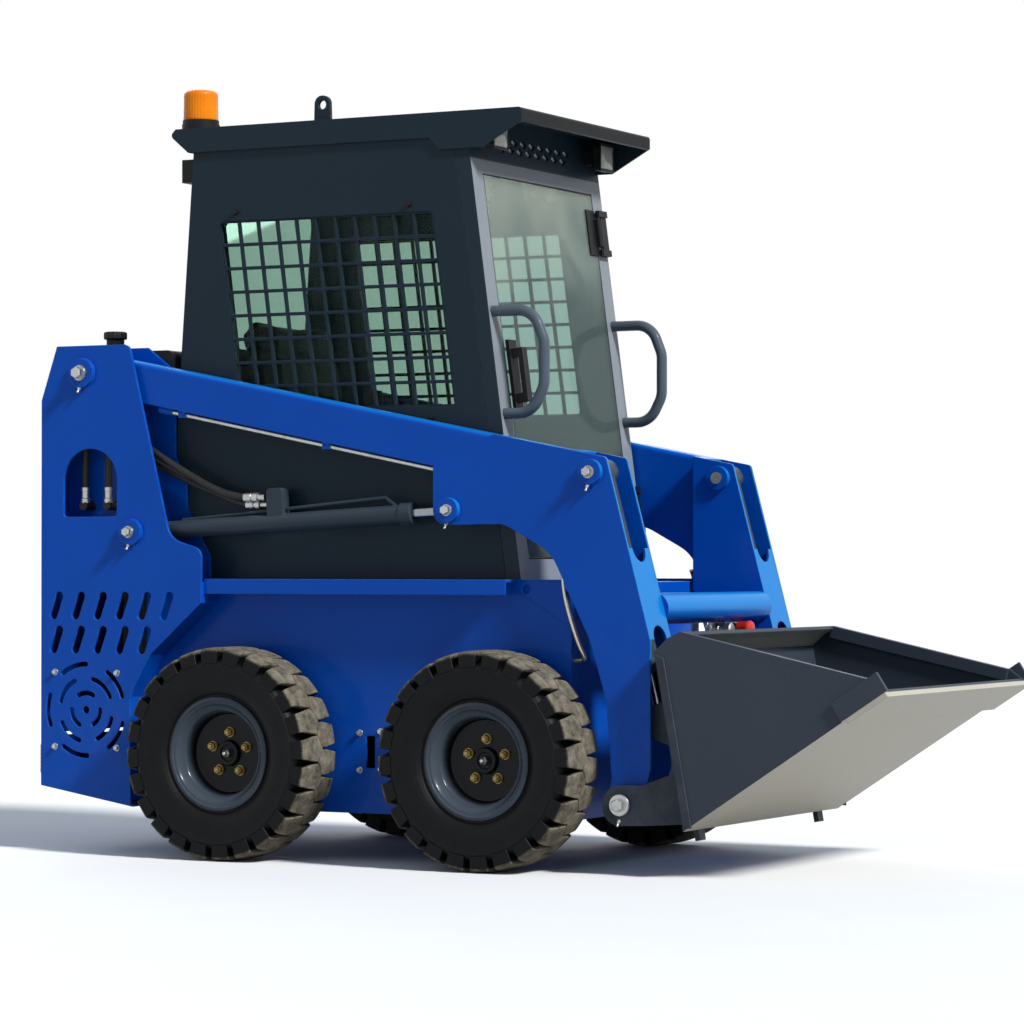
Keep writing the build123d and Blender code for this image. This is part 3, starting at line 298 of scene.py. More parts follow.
# %% Metals
def metal(name, colour, stain, rough, grain_mm, stretch=(1, 1, 1)):
    """Metal with a directional grain; stretch squeezes the grain along an axis."""
    finish, tree, shader = new_finish(name)
    place = add(tree, "TexCoord").outputs["Object"]
    grain_place = add(tree, "Mapping", {"Vector": place, "Scale": stretch})
    grain = add(tree, "TexNoise", {"Vector": grain_place, "Scale": per_mm(grain_mm), "Detail": 6})
    spots = add(tree, "TexNoise", {"Vector": place, "Scale": per_mm(30), "Detail": 6, "Roughness": 0.7})
    patch = add(tree, "MapRange", {"Value": spots, "From Min": 0.5, "From Max": 0.75})
    tone = add(tree, "Mix", {0: patch, 6: linear(colour), 7: linear(stain)}, data_type="RGBA")
    gloss = add(tree, "MapRange", {"Value": grain, "To Min": rough - 0.1, "To Max": rough + 0.15})
    bump = add(tree, "Bump", {"Height": grain, "Strength": 0.06, "Distance": 0.0005})
    wire(shader, {"Base Color": tone, "Roughness": gloss, "Normal": bump, "Metallic": 1})
    return finish


# zinc plating: pale, with soft highlights
zinc_plate = metal("bright_zinc_plating", "#b4b6b4", "#8f9190", rough=0.34, grain_mm=3)
# yellow zinc: a dull tint of gold
yellow_zinc = metal("yellow_zinc_plating", "#8f7f4f", "#5f5233", rough=0.36, grain_mm=3)
# thick plating on pipe: cream and a little dull
pale_pipe = metal("cream_plated_pipe", "#c9c4b2", "#a8a28f", rough=0.4, grain_mm=4)
# hard chrome: nearly a mirror, with one sharp streak of light along the rod
hard_chrome = metal("hard_chrome_rod", "#8f9498", "#7d8286", rough=0.16, grain_mm=1.5, stretch=(1, 6, 1))
# rough cast iron: dark and dull
cast_iron = metal("cast_iron_engine", "#4a4b4d", "#38332e", rough=0.6, grain_mm=5)
print("metals:", [m.name for m in (zinc_plate, yellow_zinc, pale_pipe, hard_chrome, cast_iron)])

# %% Scoured plate
UNDERSIDE = (0.548, 0, -0.836)


def scoured(name, painted_over=None):
    """Bare plate scoured by sand; where painted_over is given, only faces that look down are bare."""
    finish, tree, shader = new_finish(name)
    coords = add(tree, "TexCoord")
    place = coords.outputs["Object"]
    rub = add(tree, "Mapping", {"Vector": place, "Scale": (1, 9, 1)})
    lines = add(tree, "TexNoise", {"Vector": rub, "Scale": per_mm(60), "Detail": 8, "Roughness": 0.7})
    marks = add(tree, "TexNoise", {"Vector": place, "Scale": per_mm(25), "Detail": 7, "Roughness": 0.7})
    rust = add(tree, "MapRange", {"Value": marks, "From Min": 0.62, "From Max": 0.72, "To Max": 0.7})
    plate = add(tree, "Mix", {0: lines, 6: linear("#a4a093"), 7: linear("#c6c1b3")}, data_type="RGBA")
    plate = add(tree, "Mix", {0: rust, 6: plate, 7: linear("#8c7762")}, data_type="RGBA")
    colour = plate
    shine = 0.15
    if painted_over:
        way = coords.outputs["Normal"]
        facing = add(tree, "VectorMath", {0: way, 1: UNDERSIDE}, operation="DOT_PRODUCT")
        bare = add(tree, "MapRange", {"Value": facing, "From Min": 0.9, "From Max": 0.98})
        scrape = add(tree, "MapRange", {"Value": lines, "From Min": 0.66, "From Max": 0.75, "To Max": 0.5})
        cloud = add(tree, "TexNoise", {"Vector": place, "Scale": per_mm(300), "Detail": 5})
        light, dark = [linear(code) for code in painted_over]
        coat = add(tree, "Mix", {0: cloud, 6: light, 7: dark}, data_type="RGBA")
        coat = add(tree, "Mix", {0: scrape, 6: coat, 7: linear("#6d7074")}, data_type="RGBA")
        colour = add(tree, "Mix", {0: bare, 6: coat, 7: plate}, data_type="RGBA")
        shine = add(tree, "MapRange", {"Value": bare, "To Max": 0.15})
    rough = add(tree, "MapRange", {"Value": lines, "To Min": 0.36, "To Max": 0.6})
    soft = add(tree, "Bevel", {"Radius": 0.003}, samples=4)
    bump = add(tree, "Bump", {"Height": lines, "Normal": soft, "Strength": 0.12, "Distance": 0.001})
    wire(shader, {"Base Color": colour, "Roughness": rough, "Normal": bump, "Metallic": shine,
                  "Specular IOR Level": 0.25})
    return finish


# rolled steel plate: long scratches in dusty beige-grey, with spots of brown rust
edge_plate = scoured("scoured_edge_plate")
bucket_plate = scoured("bucket_plate_painted_above_bare_below", BUCKET_CHARCOALS)
print("plates:", edge_plate.name, bucket_plate.name)

# %% [markdown]
# ## Plastic, rubber, vinyl and glass
# Moulded covers are black and finely textured. Hoses are rubber with a wrapped cover. The seat is vinyl with
# a leather-like grain. The windows are tinted safety glass: a pale green sheet that lets light through, so
# what lies behind takes its tint. A see-through alpha would lay a grey veil over it. Lenses are coloured
# plastic.

# %% Plastic, rubber and vinyl
def moulded(name, colour, pale, rough, grain_mm, relief, coat=0.0, mirror=0.3):
    """Moulded material with a grain of cells, as on textured plastic, vinyl or rubber."""
    finish, tree, shader = new_finish(name)
    place = add(tree, "TexCoord").outputs["Object"]
    cells = add(tree, "TexVoronoi", {"Vector": place, "Scale": per_mm(grain_mm)}, feature="SMOOTH_F1")
    haze = add(tree, "TexNoise", {"Vector": place, "Scale": per_mm(70), "Detail": 6, "Roughness": 0.7})
    fade = add(tree, "MapRange", {"Value": haze, "From Min": 0.35, "From Max": 0.75})
    tone = add(tree, "Mix", {0: fade, 6: linear(colour), 7: linear(pale)}, data_type="RGBA")
    gloss = add(tree, "MapRange", {"Value": haze, "To Min": rough - 0.08, "To Max": rough + 0.1})
    bump = add(tree, "Bump", {"Height": cells, "Strength": relief, "Distance": 0.0006})
    wire(shader, {"Base Color": tone, "Roughness": gloss, "Normal": bump, "Coat Weight": coat,
                  "Specular IOR Level": mirror})
    return finish


# pebbled covers: black with a dull sheen
black_plastic = moulded("black_textured_plastic", "#101214", "#1b1e21",
                        rough=0.5, grain_mm=2, relief=0.3, mirror=0.2)
# hoses keep the print of the cloth they were wrapped in
hose_rubber = moulded("wrapped_hose_rubber", "#17181a", "#2b2a28", rough=0.55, grain_mm=4, relief=0.5)
# extruded seal: matt and smooth
seal_rubber = moulded("black_window_seal", "#0d0e0f", "#1a1b1c", rough=0.6, grain_mm=2, relief=0.2)
# calendered vinyl: a soft leather grain
seat_vinyl = moulded("grained_seat_vinyl", "#131415", "#202123",
                     rough=0.5, grain_mm=3, relief=0.4, mirror=0.2)
# pressed fibre: pale and without any gloss
filter_mat = moulded("pale_filter_mat", "#dfe5e8", "#c9d0d4",
                     rough=0.9, grain_mm=5, relief=0.6, mirror=0.05)
# soft plastic: strong red with a little gloss
red_cap_plastic = moulded("red_dust_cap", "#d6301f", "#b82417",
                          rough=0.4, grain_mm=3, relief=0.15, coat=0.2)
# pressed lamp glass: pale, since the reflector behind shines through, with coarse flutes
lamp_glass = moulded("clear_lamp_glass", "#b9bab1", "#83857e",
                     rough=0.14, grain_mm=14, relief=1.0, coat=0.4)
# clear acrylic in amber and red: even colour under a glossy skin
amber_plastic = moulded("amber_beacon_plastic", "#f18803", "#df7202",
                        rough=0.25, grain_mm=6, relief=0.1, coat=0.1, mirror=0.15)
red_lens_plastic = moulded("red_lamp_plastic", "#a8140f", "#8c0d0b",
                           rough=0.2, grain_mm=6, relief=0.3, coat=0.3)
print("rubber:", hose_rubber.name, seal_rubber.name, "lenses:", amber_plastic.name, red_lens_plastic.name)

# %% Window glass
def glazing(name, clear, pale_film, low, high):
    """Pane that lets light through; low and high are the shares of a pale film, dust and painted reflection,
    at its foot and at its head.
    """
    finish, tree, shader = new_finish(name)
    place = add(tree, "TexCoord").outputs["Object"]
    height = add(tree, "SeparateXYZ", {0: place})
    smear = add(tree, "TexNoise", {"Vector": place, "Scale": per_mm(220), "Detail": 5, "Distortion": 0.6})
    wander = add(tree, "MapRange", {"Value": smear, "To Min": -0.3, "To Max": 0.3})
    level = add(tree, "Math", {0: height.outputs["Z"], 1: wander})
    top = add(tree, "MapRange", {"Value": level, "From Min": 1.5, "From Max": 2.0})
    tone = add(tree, "Mix", {0: top, 6: linear(clear), 7: linear(pale_film)}, data_type="RGBA")
    through = add(tree, "MapRange", {"Value": top, "To Min": 1 - low, "To Max": 1 - high})
    # a thin sheet does not bend the view, so its index is set near that of air
    wire(shader, {"Base Color": tone, "Transmission Weight": through, "Roughness": 0.03, "IOR": 1.1})
    return finish


# side and rear windows: clean sheet with a green tint
side_glass = glazing("green_tinted_side_glass", "#b2cabf", "#bad0c6", 0.02, 0.05)
# the door: a pale film of dust and painted sky reflection makes it pale at the top, and it clears towards the
# foot
door_glass_dust_and_reflection = glazing("door_glass_with_dust_and_painted_reflection", "#b9cfcb", "#c9cfc0", 0.09, 0.38)
print("panes:", side_glass.name, door_glass_dust_and_reflection.name)

# %% [markdown]
# ## Finishes onto the solids
# Each solid was given a finish name when it was drawn. The first list below hangs a finish on every such
# name. The second names the few solids that look different from the rest of their group.

# %% Dress the solids
dress = {"body_paint": blue_enamel, "cab_paint": charcoal_coat, "pillar_paint": post_paint_sunlit_front,
         "bucket_paint": bucket_coat, "edge_steel": edge_plate, "black_parts": black_plastic,
         "engine_metal": cast_iron, "pin_steel": zinc_plate, "cylinder_paint": cylinder_grey,
         "rod_chrome": hard_chrome, "glass": side_glass, "lamp_lens": lamp_glass,
         "red_lens": red_lens_plastic, "amber_lens": amber_plastic, "seat_cover": seat_vinyl,
         "tyre_rubber": hose_rubber, "wheel_paint": cylinder_grey}
own = {"lift_arm_left": arm_enamel_painted_sun, "lift_arm_right": arm_enamel_painted_sun, "arm_cross_tube": arm_enamel_painted_sun,
       "cab_roof": roof_coat_painted_shade, "bucket_shell": bucket_plate, "tower_hoses": hose_rubber,
       "cab_door": door_glass_dust_and_reflection, "grab_handles": handle_grey}
for name, solid in nodes.items():
    solid.data.materials.clear()
    solid.data.materials.append(own.get(name, dress[finish_of[name]]))
print("dressed", len(nodes), "solids in", len(set(finish_of.values())), "finishes")

# %% [markdown]
# ## Making pieces
# Most small parts of a machine are turned, bolted or bent from pipe. Two helpers serve nearly all of them.
# One takes a finished mesh, smooths it up to a chosen angle, paints it and fastens it to the body that
# carries it. The other turns a profile about the axle direction. Bolts and pipes get a helper of their own
# where they are first needed.

# %% Piece makers
def piece(name, shape, finish, body, where=(0, 0, 0), sharp=35, rounding=0.0):
    """Makes an object of a mesh under construction and lets it ride on a body of the machine."""
    bmesh.ops.remove_doubles(shape, verts=shape.verts, dist=1e-6)
    bmesh.ops.recalc_face_normals(shape, faces=shape.faces)
    mesh = bpy.data.meshes.new(name)
    shape.to_mesh(mesh)
    shape.free()
    mesh.polygons.foreach_set("use_smooth", [True] * len(mesh.polygons))
    mesh.set_sharp_from_angle(angle=math.radians(sharp))
    mesh.materials.append(finish)
    made = bpy.data.objects.new(name, mesh)
    made.location = where
    scene.collection.objects.link(made)
    if rounding:
        cut = made.modifiers.new("rounded_edges", "BEVEL")
        cut.width = rounding / 1000
        cut.segments = 2
        cut.limit_method = "ANGLE"
        cut.angle_limit = math.radians(40)
    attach(made, body)
    return made


def turn(shape, profile, steps=64, flutes=0, depth=0.0, spin=Matrix()):
    """Turns (radius, offset) pairs in millimetres about Y; flutes press that many grooves into it."""
    rings = []
    for r, h in profile:
        if r < 1e-6:
            rings.append([shape.verts.new(spin @ Vector((0, h / 1000, 0)))])
            continue
        ring = []
        for i in range(steps):
            a = 2 * math.pi * i / steps
            size = (r - depth * (0.5 + 0.5 * math.cos(flutes * a)) * (flutes > 0)) / 1000
            ring.append(shape.verts.new(spin @ Vector((size * math.cos(a), h / 1000, size * math.sin(a)))))
        rings.append(ring)
    for low, high in zip(rings, rings[1:]):
        for i in range(steps):
            j = i + 1
            corners = []
            for v in (low[i % len(low)], low[j % len(low)], high[j % len(high)], high[i % len(high)]):
                if v not in corners:
                    corners.append(v)
            if len(corners) > 2:
                shape.faces.new(corners)
    return shape


print("piece makers ready")

# %% [markdown]
# ## Tyres
# The tyres are solid-looking industrial ones: a flat dark side with one raised ring, and two rows of chunky
# blocks whose inner ends mesh in a zigzag. A texture could draw the tread, but the outline of the tyre would
# stay smooth, so each block is a small grid wrapped on the tyre's round, with its edges rounded, as the mould
# leaves them. The tops are worn tan by dry ground while the flanks stay dark, so the rubber reads its own
# distance from the axle to choose a colour.

# %% Tyre rubber
tyre_rubber, tree, shader = new_finish("dusty_tyre_rubber")
place = add(tree, "TexCoord").outputs["Object"]
level_place = add(tree, "VectorMath", {0: place, 1: (1, 0, 1)}, operation="MULTIPLY")
radius = add(tree, "VectorMath", {0: level_place}, operation="LENGTH")
blotch = add(tree, "TexNoise", {"Vector": place, "Scale": per_mm(36), "Detail": 8, "Roughness": 0.75})
shift = add(tree, "MapRange", {"Value": blotch, "To Min": -0.006, "To Max": 0.006})
reach = add(tree, "Math", {0: radius, 1: shift})
worn = add(tree, "MapRange", {"Value": reach, "From Min": 0.281, "From Max": 0.289})
film = add(tree, "MapRange", {"Value": blotch, "From Min": 0.45, "From Max": 0.8, "To Max": 0.3})
side_tone = add(tree, "Mix", {0: film, 6: linear("#08090b"), 7: linear("#1e1e1b")}, data_type="RGBA")
patch = add(tree, "MapRange", {"Value": blotch, "From Min": 0.3, "From Max": 0.68})
top_tone = add(tree, "Mix", {0: patch, 6: linear("#28241b"), 7: linear("#8c8474")}, data_type="RGBA")
tone = add(tree, "Mix", {0: worn, 6: side_tone, 7: top_tone}, data_type="RGBA")
# the rubber's pores are about half a millimetre; they are drawn at 2 mm so that they show
pores = add(tree, "TexNoise", {"Vector": place, "Scale": per_mm(2), "Detail": 3})
rough = add(tree, "MapRange", {"Value": worn, "To Min": 0.48, "To Max": 0.9})
bump = add(tree, "Bump", {"Height": pores, "Strength": 0.25, "Distance": 0.0008})
# the mould leaves fine rings on the side, 11 mm apart
phase = add(tree, "Math", {0: radius, 1: 2 * math.pi * per_mm(11)}, operation="MULTIPLY")
rings = add(tree, "Math", {0: phase}, operation="SINE")
bump = add(tree, "Bump", {"Height": rings, "Normal": bump, "Strength": 0.2, "Distance": 0.0006})
wire(shader, {"Base Color": tone, "Roughness": rough, "Normal": bump, "Specular IOR Level": 0.14})
print("tyre rubber:", tyre_rubber.name)

# %% Tread block
BLOCKS = 24
PITCH = 2 * math.pi / BLOCKS
# a block runs from the shoulder to a zigzag inner end; its half length round the tyre grows inwards
SHOULDER_Y = 85.5
INNER_Y = 10
ZIGZAG = 19
HALF_LENGTH = 27
WIDENS = 8.6
CROWN_R = 294.6
CROWN_DROP = 7.5
TREAD_Y = 86
FOOT_R = 250


def tread_block(shape, side, centre):
    """One block: a grid of its top, wrapped on the tyre, with walls down into the carcass."""
    rows = 6
    columns = 7
    tops = {}
    for j in range(rows):
        t = j / (rows - 1)
        half = (HALF_LENGTH + WIDENS * min(1, t / 0.75) ** 1.3) / TYRE_R
        for i in range(columns):
            f = i / (columns - 1)
            inner = INNER_Y - ZIGZAG * (1 - abs(2 * f - 1))
            y = SHOULDER_Y + (inner - SHOULDER_Y) * t
            crown = CROWN_R - CROWN_DROP * (abs(y) / TREAD_Y) ** 6
            a = centre + half * (2 * f - 1)
            tops[i, j] = (crown, a, side * y)
    ring = [(i, 0) for i in range(columns)] + [(columns - 1, j) for j in range(1, rows)]
    ring += [(i, rows - 1) for i in range(columns - 2, -1, -1)] + [(0, j) for j in range(rows - 2, 0, -1)]

    def corner(r, a, y):
        return shape.verts.new((r * math.cos(a) / 1000, y / 1000, r * math.sin(a) / 1000))

    made = {key: corner(*spot) for key, spot in tops.items()}
    for j in range(rows - 1):
        for i in range(columns - 1):
            shape.faces.new([made[i, j], made[i + 1, j], made[i + 1, j + 1], made[i, j + 1]])
    feet = [corner(FOOT_R, centre + (tops[k][1] - centre) * 1.04, tops[k][2] * 1.01) for k in ring]
    for n, key in enumerate(ring):
        m = (n + 1) % len(ring)
        shape.faces.new([made[key], made[ring[m]], feet[m], feet[n]])


print("tread:", BLOCKS, "blocks in each of two rows")

# %% Tyres
# half the carcass, from the bead on the left round to the middle of the tread
SIDE = [(137, 58), (152, 60), (164, 62), (170, 69), (180, 77), (200, 84), (222, 86), (238, 86),
        (241, 87.3), (247, 87.3), (250, 85), (258, 79), (263, 70), (264, 40), (264, 0)]


def tyre(name, side, body, where):
    """A whole tyre; side is 1 on the machine's left and -1 on its right."""
    shape = bmesh.new()
    turn(shape, [*SIDE, *[(r, -y) for r, y in reversed(SIDE)], SIDE[0]], 120)
    bmesh.ops.remove_doubles(shape, verts=shape.verts, dist=1e-6)
    for i in range(BLOCKS):
        for row in (1, -1):
            tread_block(shape, row, PITCH * (i + 0.25 * row * side))
    made = piece(name, shape, tyre_rubber, body, where, rounding=2.2)
    return made


AXLES = (("front", AXLE_X), ("rear", -AXLE_X))
WHEELS = [(end, name, x, side) for end, x in AXLES for name, side in SIDES]
for end, name, x, side in WHEELS:
    centre = at(x, side * WHEEL_Y, TYRE_R)
    made = tyre(f"lugged_tyre_{end}_{name}", side, f"wheel_{end}_{name}", centre)
    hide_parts(f"tyre_{end}_{name}")
print("tyres:", len(WHEELS), "faces each:", len(made.data.polygons))

# %% [markdown]
# ## Wheels
# The rim is spun sheet: a rolled bead ring, a sloping lip in glossy grey, and a deep dish that holds five
# nuts round a small hub, painted near black as the shade inside it. One turned profile gives all of it, and
# the colour changes to that painted shade where the dish begins. A nut is a hexagon on a washer, like every
# bolt head of this machine, so one helper makes them all.

# %% Rim paint
rim_paint, tree, shader = new_finish("grey_rim_enamel_with_painted_shade_in_dish")
place = add(tree, "TexCoord").outputs["Object"]
level_place = add(tree, "VectorMath", {0: place, 1: (1, 0, 1)}, operation="MULTIPLY")
radius = add(tree, "VectorMath", {0: level_place}, operation="LENGTH")
dish = add(tree, "MapRange", {"Value": radius, "From Min": 0.118, "From Max": 0.112})
cloud = add(tree, "TexNoise", {"Vector": place, "Scale": per_mm(45), "Detail": 7, "Roughness": 0.7})
lip_tone = add(tree, "Mix", {0: cloud, 6: linear("#333c46"), 7: linear("#454f5a")}, data_type="RGBA")
# the dish is painted near black as the shade in its deep well
dish_painted_shade = add(tree, "Mix", {0: cloud, 6: linear("#06080a"), 7: linear("#0f1216")}, data_type="RGBA")
tone = add(tree, "Mix", {0: dish, 6: lip_tone, 7: dish_painted_shade}, data_type="RGBA")
gloss = add(tree, "MapRange", {"Value": cloud, "To Min": 0.16, "To Max": 0.36})
bump = add(tree, "Bump", {"Height": cloud, "Strength": 0.05, "Distance": 0.001})
wire(shader, {"Base Color": tone, "Roughness": gloss, "Normal": bump, "Coat Weight": 0.12,
              "Coat Roughness": 0.1, "Specular IOR Level": 0.1})
print("rim paint:", rim_paint.name)

# %% Bolt heads
NUT_SIZE = 21
FLATS_TO_CORNER_RADIUS = 1.732


def bolts(shape, places, out, size, washer=1.35):
    """Hexagon bolt heads on washers; out is the way they point and size the width over flats in mm."""
    stand = Vector(out).to_track_quat("Z", "Y").to_matrix().to_4x4()
    r = size / 1000 / FLATS_TO_CORNER_RADIUS
    # washer, head and its chamfer: sides, radius below and above, start and height as shares of the size
    layers = ((20, r * washer, r * washer * 0.94, 0.0, 0.12),
              (6, r, r, 0.12, 0.5),
              (6, r, r * 0.82, 0.62, 0.12))
    for p in places:
        for sides, low, high, z, tall in layers:
            lift = Matrix.Translation(Vector((0, 0, (z + tall / 2) * size / 1000)))
            bmesh.ops.create_cone(shape, cap_ends=True, segments=sides, radius1=low, radius2=high,
                                  depth=tall * size / 1000, matrix=Matrix.Translation(p) @ stand @ lift)
    return shape


print("bolt heads ready; wheel nuts are", NUT_SIZE, "mm over flats")

# %% Rims and nuts
# turned profile: inner hub and back of the dish, well, inner bead, outer bead, lip, dish and hub face
RIM = [(0, -138), (26, -138), (28, -136), (28, -26), (60, -26), (62, -24), (62, -13), (66, -10),
       (110, -10), (117, -5), (123, 22), (127, 18), (127, -58), (131, -65), (138, -68), (154, -69),
       (157, -67), (158, -64), (157, -61), (154, -60), (138, -58.5), (135, -56), (135, 56), (138, 58.5),
       (154, 60), (157, 61.5), (158, 64.5), (157, 67), (154, 68.5), (149, 69), (147, 68), (146.5, 65.5),
       (145, 64.2), (141, 63.6), (139, 62.5), (137.5, 60), (133, 56), (126, 48.5), (123.5, 47.5),
       (121, 46.5), (119, 44), (116, 34), (111, 12), (108, 6), (103, 3), (97, 2), (40, 2), (37, 2.6),
       (35.5, 5), (34.5, 15), (32.5, 17.5), (24, 18), (22, 16.5), (21, 12.5), (19, 12), (0, 12)]
HUB_TIP = [(0, 12), (10.5, 12), (12, 14), (12, 25), (8, 29), (5, 36), (0, 37)]
STUD = [(6.5, 14), (6.5, 20), (5, 21.5), (0, 21.5)]
DISH_Y = 2
NUT_RING = 58
NUTS = 5
for end, name, x, side in WHEELS:
    body = f"wheel_{end}_{name}"
    centre = at(x, side * WHEEL_Y, TYRE_R)
    facing = Matrix.Scale(side, 4, (0, 1, 0))
    spun = turn(bmesh.new(), RIM, 96, spin=facing)
    made = piece(f"spun_rim_{end}_{name}", spun, rim_paint, body, centre, 28)
    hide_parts(f"rim_{end}_{name}")
    angles = [math.radians(18 + 360 / NUTS * k) for k in range(NUTS)]
    spots = [Vector((NUT_RING * math.cos(a), side * DISH_Y, NUT_RING * math.sin(a))) / 1000 for a in angles]
    shape = bolts(bmesh.new(), spots, (0, side, 0), NUT_SIZE, 1.25)
    for p in spots:
        turn(shape, STUD, 16, spin=Matrix.Translation(p) @ facing)
    nuts = piece(f"wheel_nuts_{end}_{name}", shape, yellow_zinc, body, centre, 28)
    tip = turn(bmesh.new(), HUB_TIP, 6, spin=facing)
    piece(f"hub_tip_{end}_{name}", tip, zinc_plate, body, centre, 28, 1)
print("rims:", len(WHEELS), "with", NUTS, "nuts each")

# %% [markdown]
# ## Pins, bolts and grease nipples
# Every hinge of the arms is a plated pin whose end shows in a welded blue collar, with a grease nipple below
# it. Bolts hold the fan guard, the small cover between the wheels, the window meshes and the tail lamps. They
# could be drawn as dots, but real hexagons on washers catch the light and throw shadows.

# %% Pins and nipples
NIPPLE = [(0, -2), (6, -2), (6, 5), (4, 6), (3.2, 10), (3.2, 12), (4, 13.5), (4, 15.5), (2.5, 17), (0, 17)]


def nipple(shape, place, out):
    """Grease nipple: hexagon foot, neck and ball."""
    stand = Matrix.Translation(place) @ Vector(out).to_track_quat("Y", "Z").to_matrix().to_4x4()
    turn(shape, NIPPLE, 12, spin=stand)


# each end of a pin: its place, the width of its head and how many times wider its washer is
PIN_ENDS = {"chassis": [(-920, 503, 1362, 30, 1.2), (-752, 503, 909, 24, 1.2)],
            "arms": [(692, 485, 1062, 24, 1.2), (262, 479, 964, 24, 1.2)],
            "bucket": [(790, 496, 187, 30, 1.7)]}
for body, ends in PIN_ENDS.items():
    heads = bmesh.new()
    for x, y, z, size, washer in ends:
        for side in (1, -1):
            bolts(heads, [at(x, side * y, z)], (0, side, 0), size, washer)
            nipple(heads, at(x - 6, side * (y - 12), z - size - 12), (-0.15, side * 0.5, -0.85))
    piece(f"pin_heads_{body}", heads, zinc_plate, body, sharp=28)
print("pins dressed on", list(PIN_ENDS))

# %% Cover and mesh bolts
small = bmesh.new()
dark = bmesh.new()
for side in (1, -1):
    fan = [at(-907 + u * 106, side * 485, 404 + v * 106) for u in (1, -1) for v in (1, -1)]
    cover = [at(x, side * 400, z) for x, z in ((-54, 354), (12, 359), (-54, 252), (14, 256))]
    bolts(small, fan + cover, (0, side, 0), 13, 1.3)
    mesh_frame = [at(x, side * 388, z) for x, z in ((-467, 1809), (93, 1805), (165, 1220), (-430, 1225))]
    bolts(dark, mesh_frame, (0, side, 0), 14, 1.2)
    bolts(small, [at(-1081, side * 434, z) for z in (222, 301)], (-1, 0, 0), 8)
piece("cover_bolts", small, zinc_plate, "chassis", sharp=28)
piece("window_mesh_bolts", dark, black_plastic, "chassis", sharp=28)
print("bolts per side:", len(fan), "on the fan,", len(cover), "on the cover,", len(mesh_frame), "on the mesh")

# %% [markdown]
# ## Pipes and hoses
# A plated pipe runs under each beam, and two wrapped hoses leave each tower for the block on the lift
# cylinder. A row of short cylinders would show its joints, so a curve with a round bevel gives both. The
# hoses ride on no body, so they stay where they are drawn.

# %% Pipe along a line
ROUNDNESS = 4


def pipe(name, points, radius, finish, body=None):
    """Pipe or hose along a smooth line led by drawn places; radius in millimetres."""
    line = bpy.data.curves.new(name, "CURVE")
    line.dimensions = "3D"
    run = line.splines.new("NURBS")
    run.points.add(len(points) - 1)
    for knot, p in zip(run.points, points):
        knot.co = (*at(*p), 1)
    run.order_u = 3
    run.use_endpoint_u = True
    run.resolution_u = 10
    line.bevel_depth = radius / 1000
    line.bevel_resolution = ROUNDNESS
    line.use_fill_caps = True
    draft = bpy.data.objects.new(name + "_line", line)
    scene.collection.objects.link(draft)
    bpy.context.view_layer.update()
    mesh = bpy.data.meshes.new_from_object(draft.evaluated_get(bpy.context.evaluated_depsgraph_get()))
    bpy.data.objects.remove(draft)
    mesh.polygons.foreach_set("use_smooth", [True] * len(mesh.polygons))
    mesh.materials.clear()
    mesh.materials.append(finish)
    made = bpy.data.objects.new(name, mesh)
    scene.collection.objects.link(made)
    if body:
        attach(made, body)
    return made


print("a pipe has", 4 + 2 * ROUNDNESS, "sides")

# %% Pipes and hoses
BEAM_REAR = (-717, 1271)
BEAM_FRONT = (213, 1084)


def beam_low(x):
    """Height of the beam's lower edge at x."""
    rear_x, rear_z = BEAM_REAR
    front_x, front_z = BEAM_FRONT
    return rear_z - (x - rear_x) * (rear_z - front_z) / (front_x - rear_x)


HOSE_ROUTES = ([(-835, 400, 1222), (-800, 438, 1196), (-705, 447, 1136), (-604, 447, 1080),
                (-504, 445, 1029), (-440, 442, 1008), (-400, 440, 1004)],
               [(-830, 400, 1170), (-790, 425, 1146), (-695, 424, 1096), (-587, 424, 1046),
                (-500, 425, 1016), (-440, 426, 994), (-400, 427, 984)])
FITTING = [(0, 0), (13, 0), (13, 22), (10, 24), (10, 30), (14, 31), (14, 44), (9, 46), (9, 66), (0, 66)]
COLLAR = [(10.6, 8), (14, 8), (14, 20), (12, 22), (12, 40), (13, 41), (13, 52), (10.6, 53)]
for name, side in SIDES:
    run = [(x, side * 452, beam_low(x) - 9) for x in (-676, -450, -100, 212)]
    pipe(f"beam_pipe_{name}", run, 6.5, zinc_plate, "arms")
    for k, route in enumerate(HOSE_ROUTES):
        hose = pipe(f"lift_hose_{name}_{k + 1}", [(x, side * y, z) for x, y, z in route], 10.5, hose_rubber)
        end = at(-440, side * 437, 1010)
        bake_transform(hose)
    ends = bmesh.new()
    for _, y, z in [route[-1] for route in HOSE_ROUTES]:
        lay = Matrix.Translation(at(-402, side * y, z)) @ Matrix.Rotation(math.radians(-90), 4, "Z")
        turn(ends, FITTING, 24, spin=lay)
    piece(f"hose_fittings_{name}", ends, zinc_plate, f"lift_barrel_{name}", sharp=28)
    collars = bmesh.new()
    for x in (-945, -865):
        for z, quarter in ((985, 90), (1250, -90)):
            along = Matrix.Rotation(math.radians(quarter), 4, "X")
            turn(collars, COLLAR, 24, spin=Matrix.Translation(at(x, side * 433.5, z)) @ along)
    piece(f"tower_hose_collars_{name}", collars, zinc_plate, "chassis", sharp=28)
print("hoses and pipes on both sides")

# %% [markdown]
# ## Beacon, cap and lamps
# The beacon is a fluted amber cup on a black foot. The filler cap is a ribbed knob. Each work lamp has a
# fluted, slightly domed glass in a black frame. Cup and knob are turned, with grooves pressed in on the way
# round. The glass is a grid, because its dome has to end in a straight-sided rectangle.

# %% Beacon and cap
def upright(x, y, z):
    """Stand for a turned piece whose profile starts at a drawn place and goes up."""
    return Matrix.Translation(at(x, y, z)) @ Matrix.Rotation(math.radians(90), 4, "X")


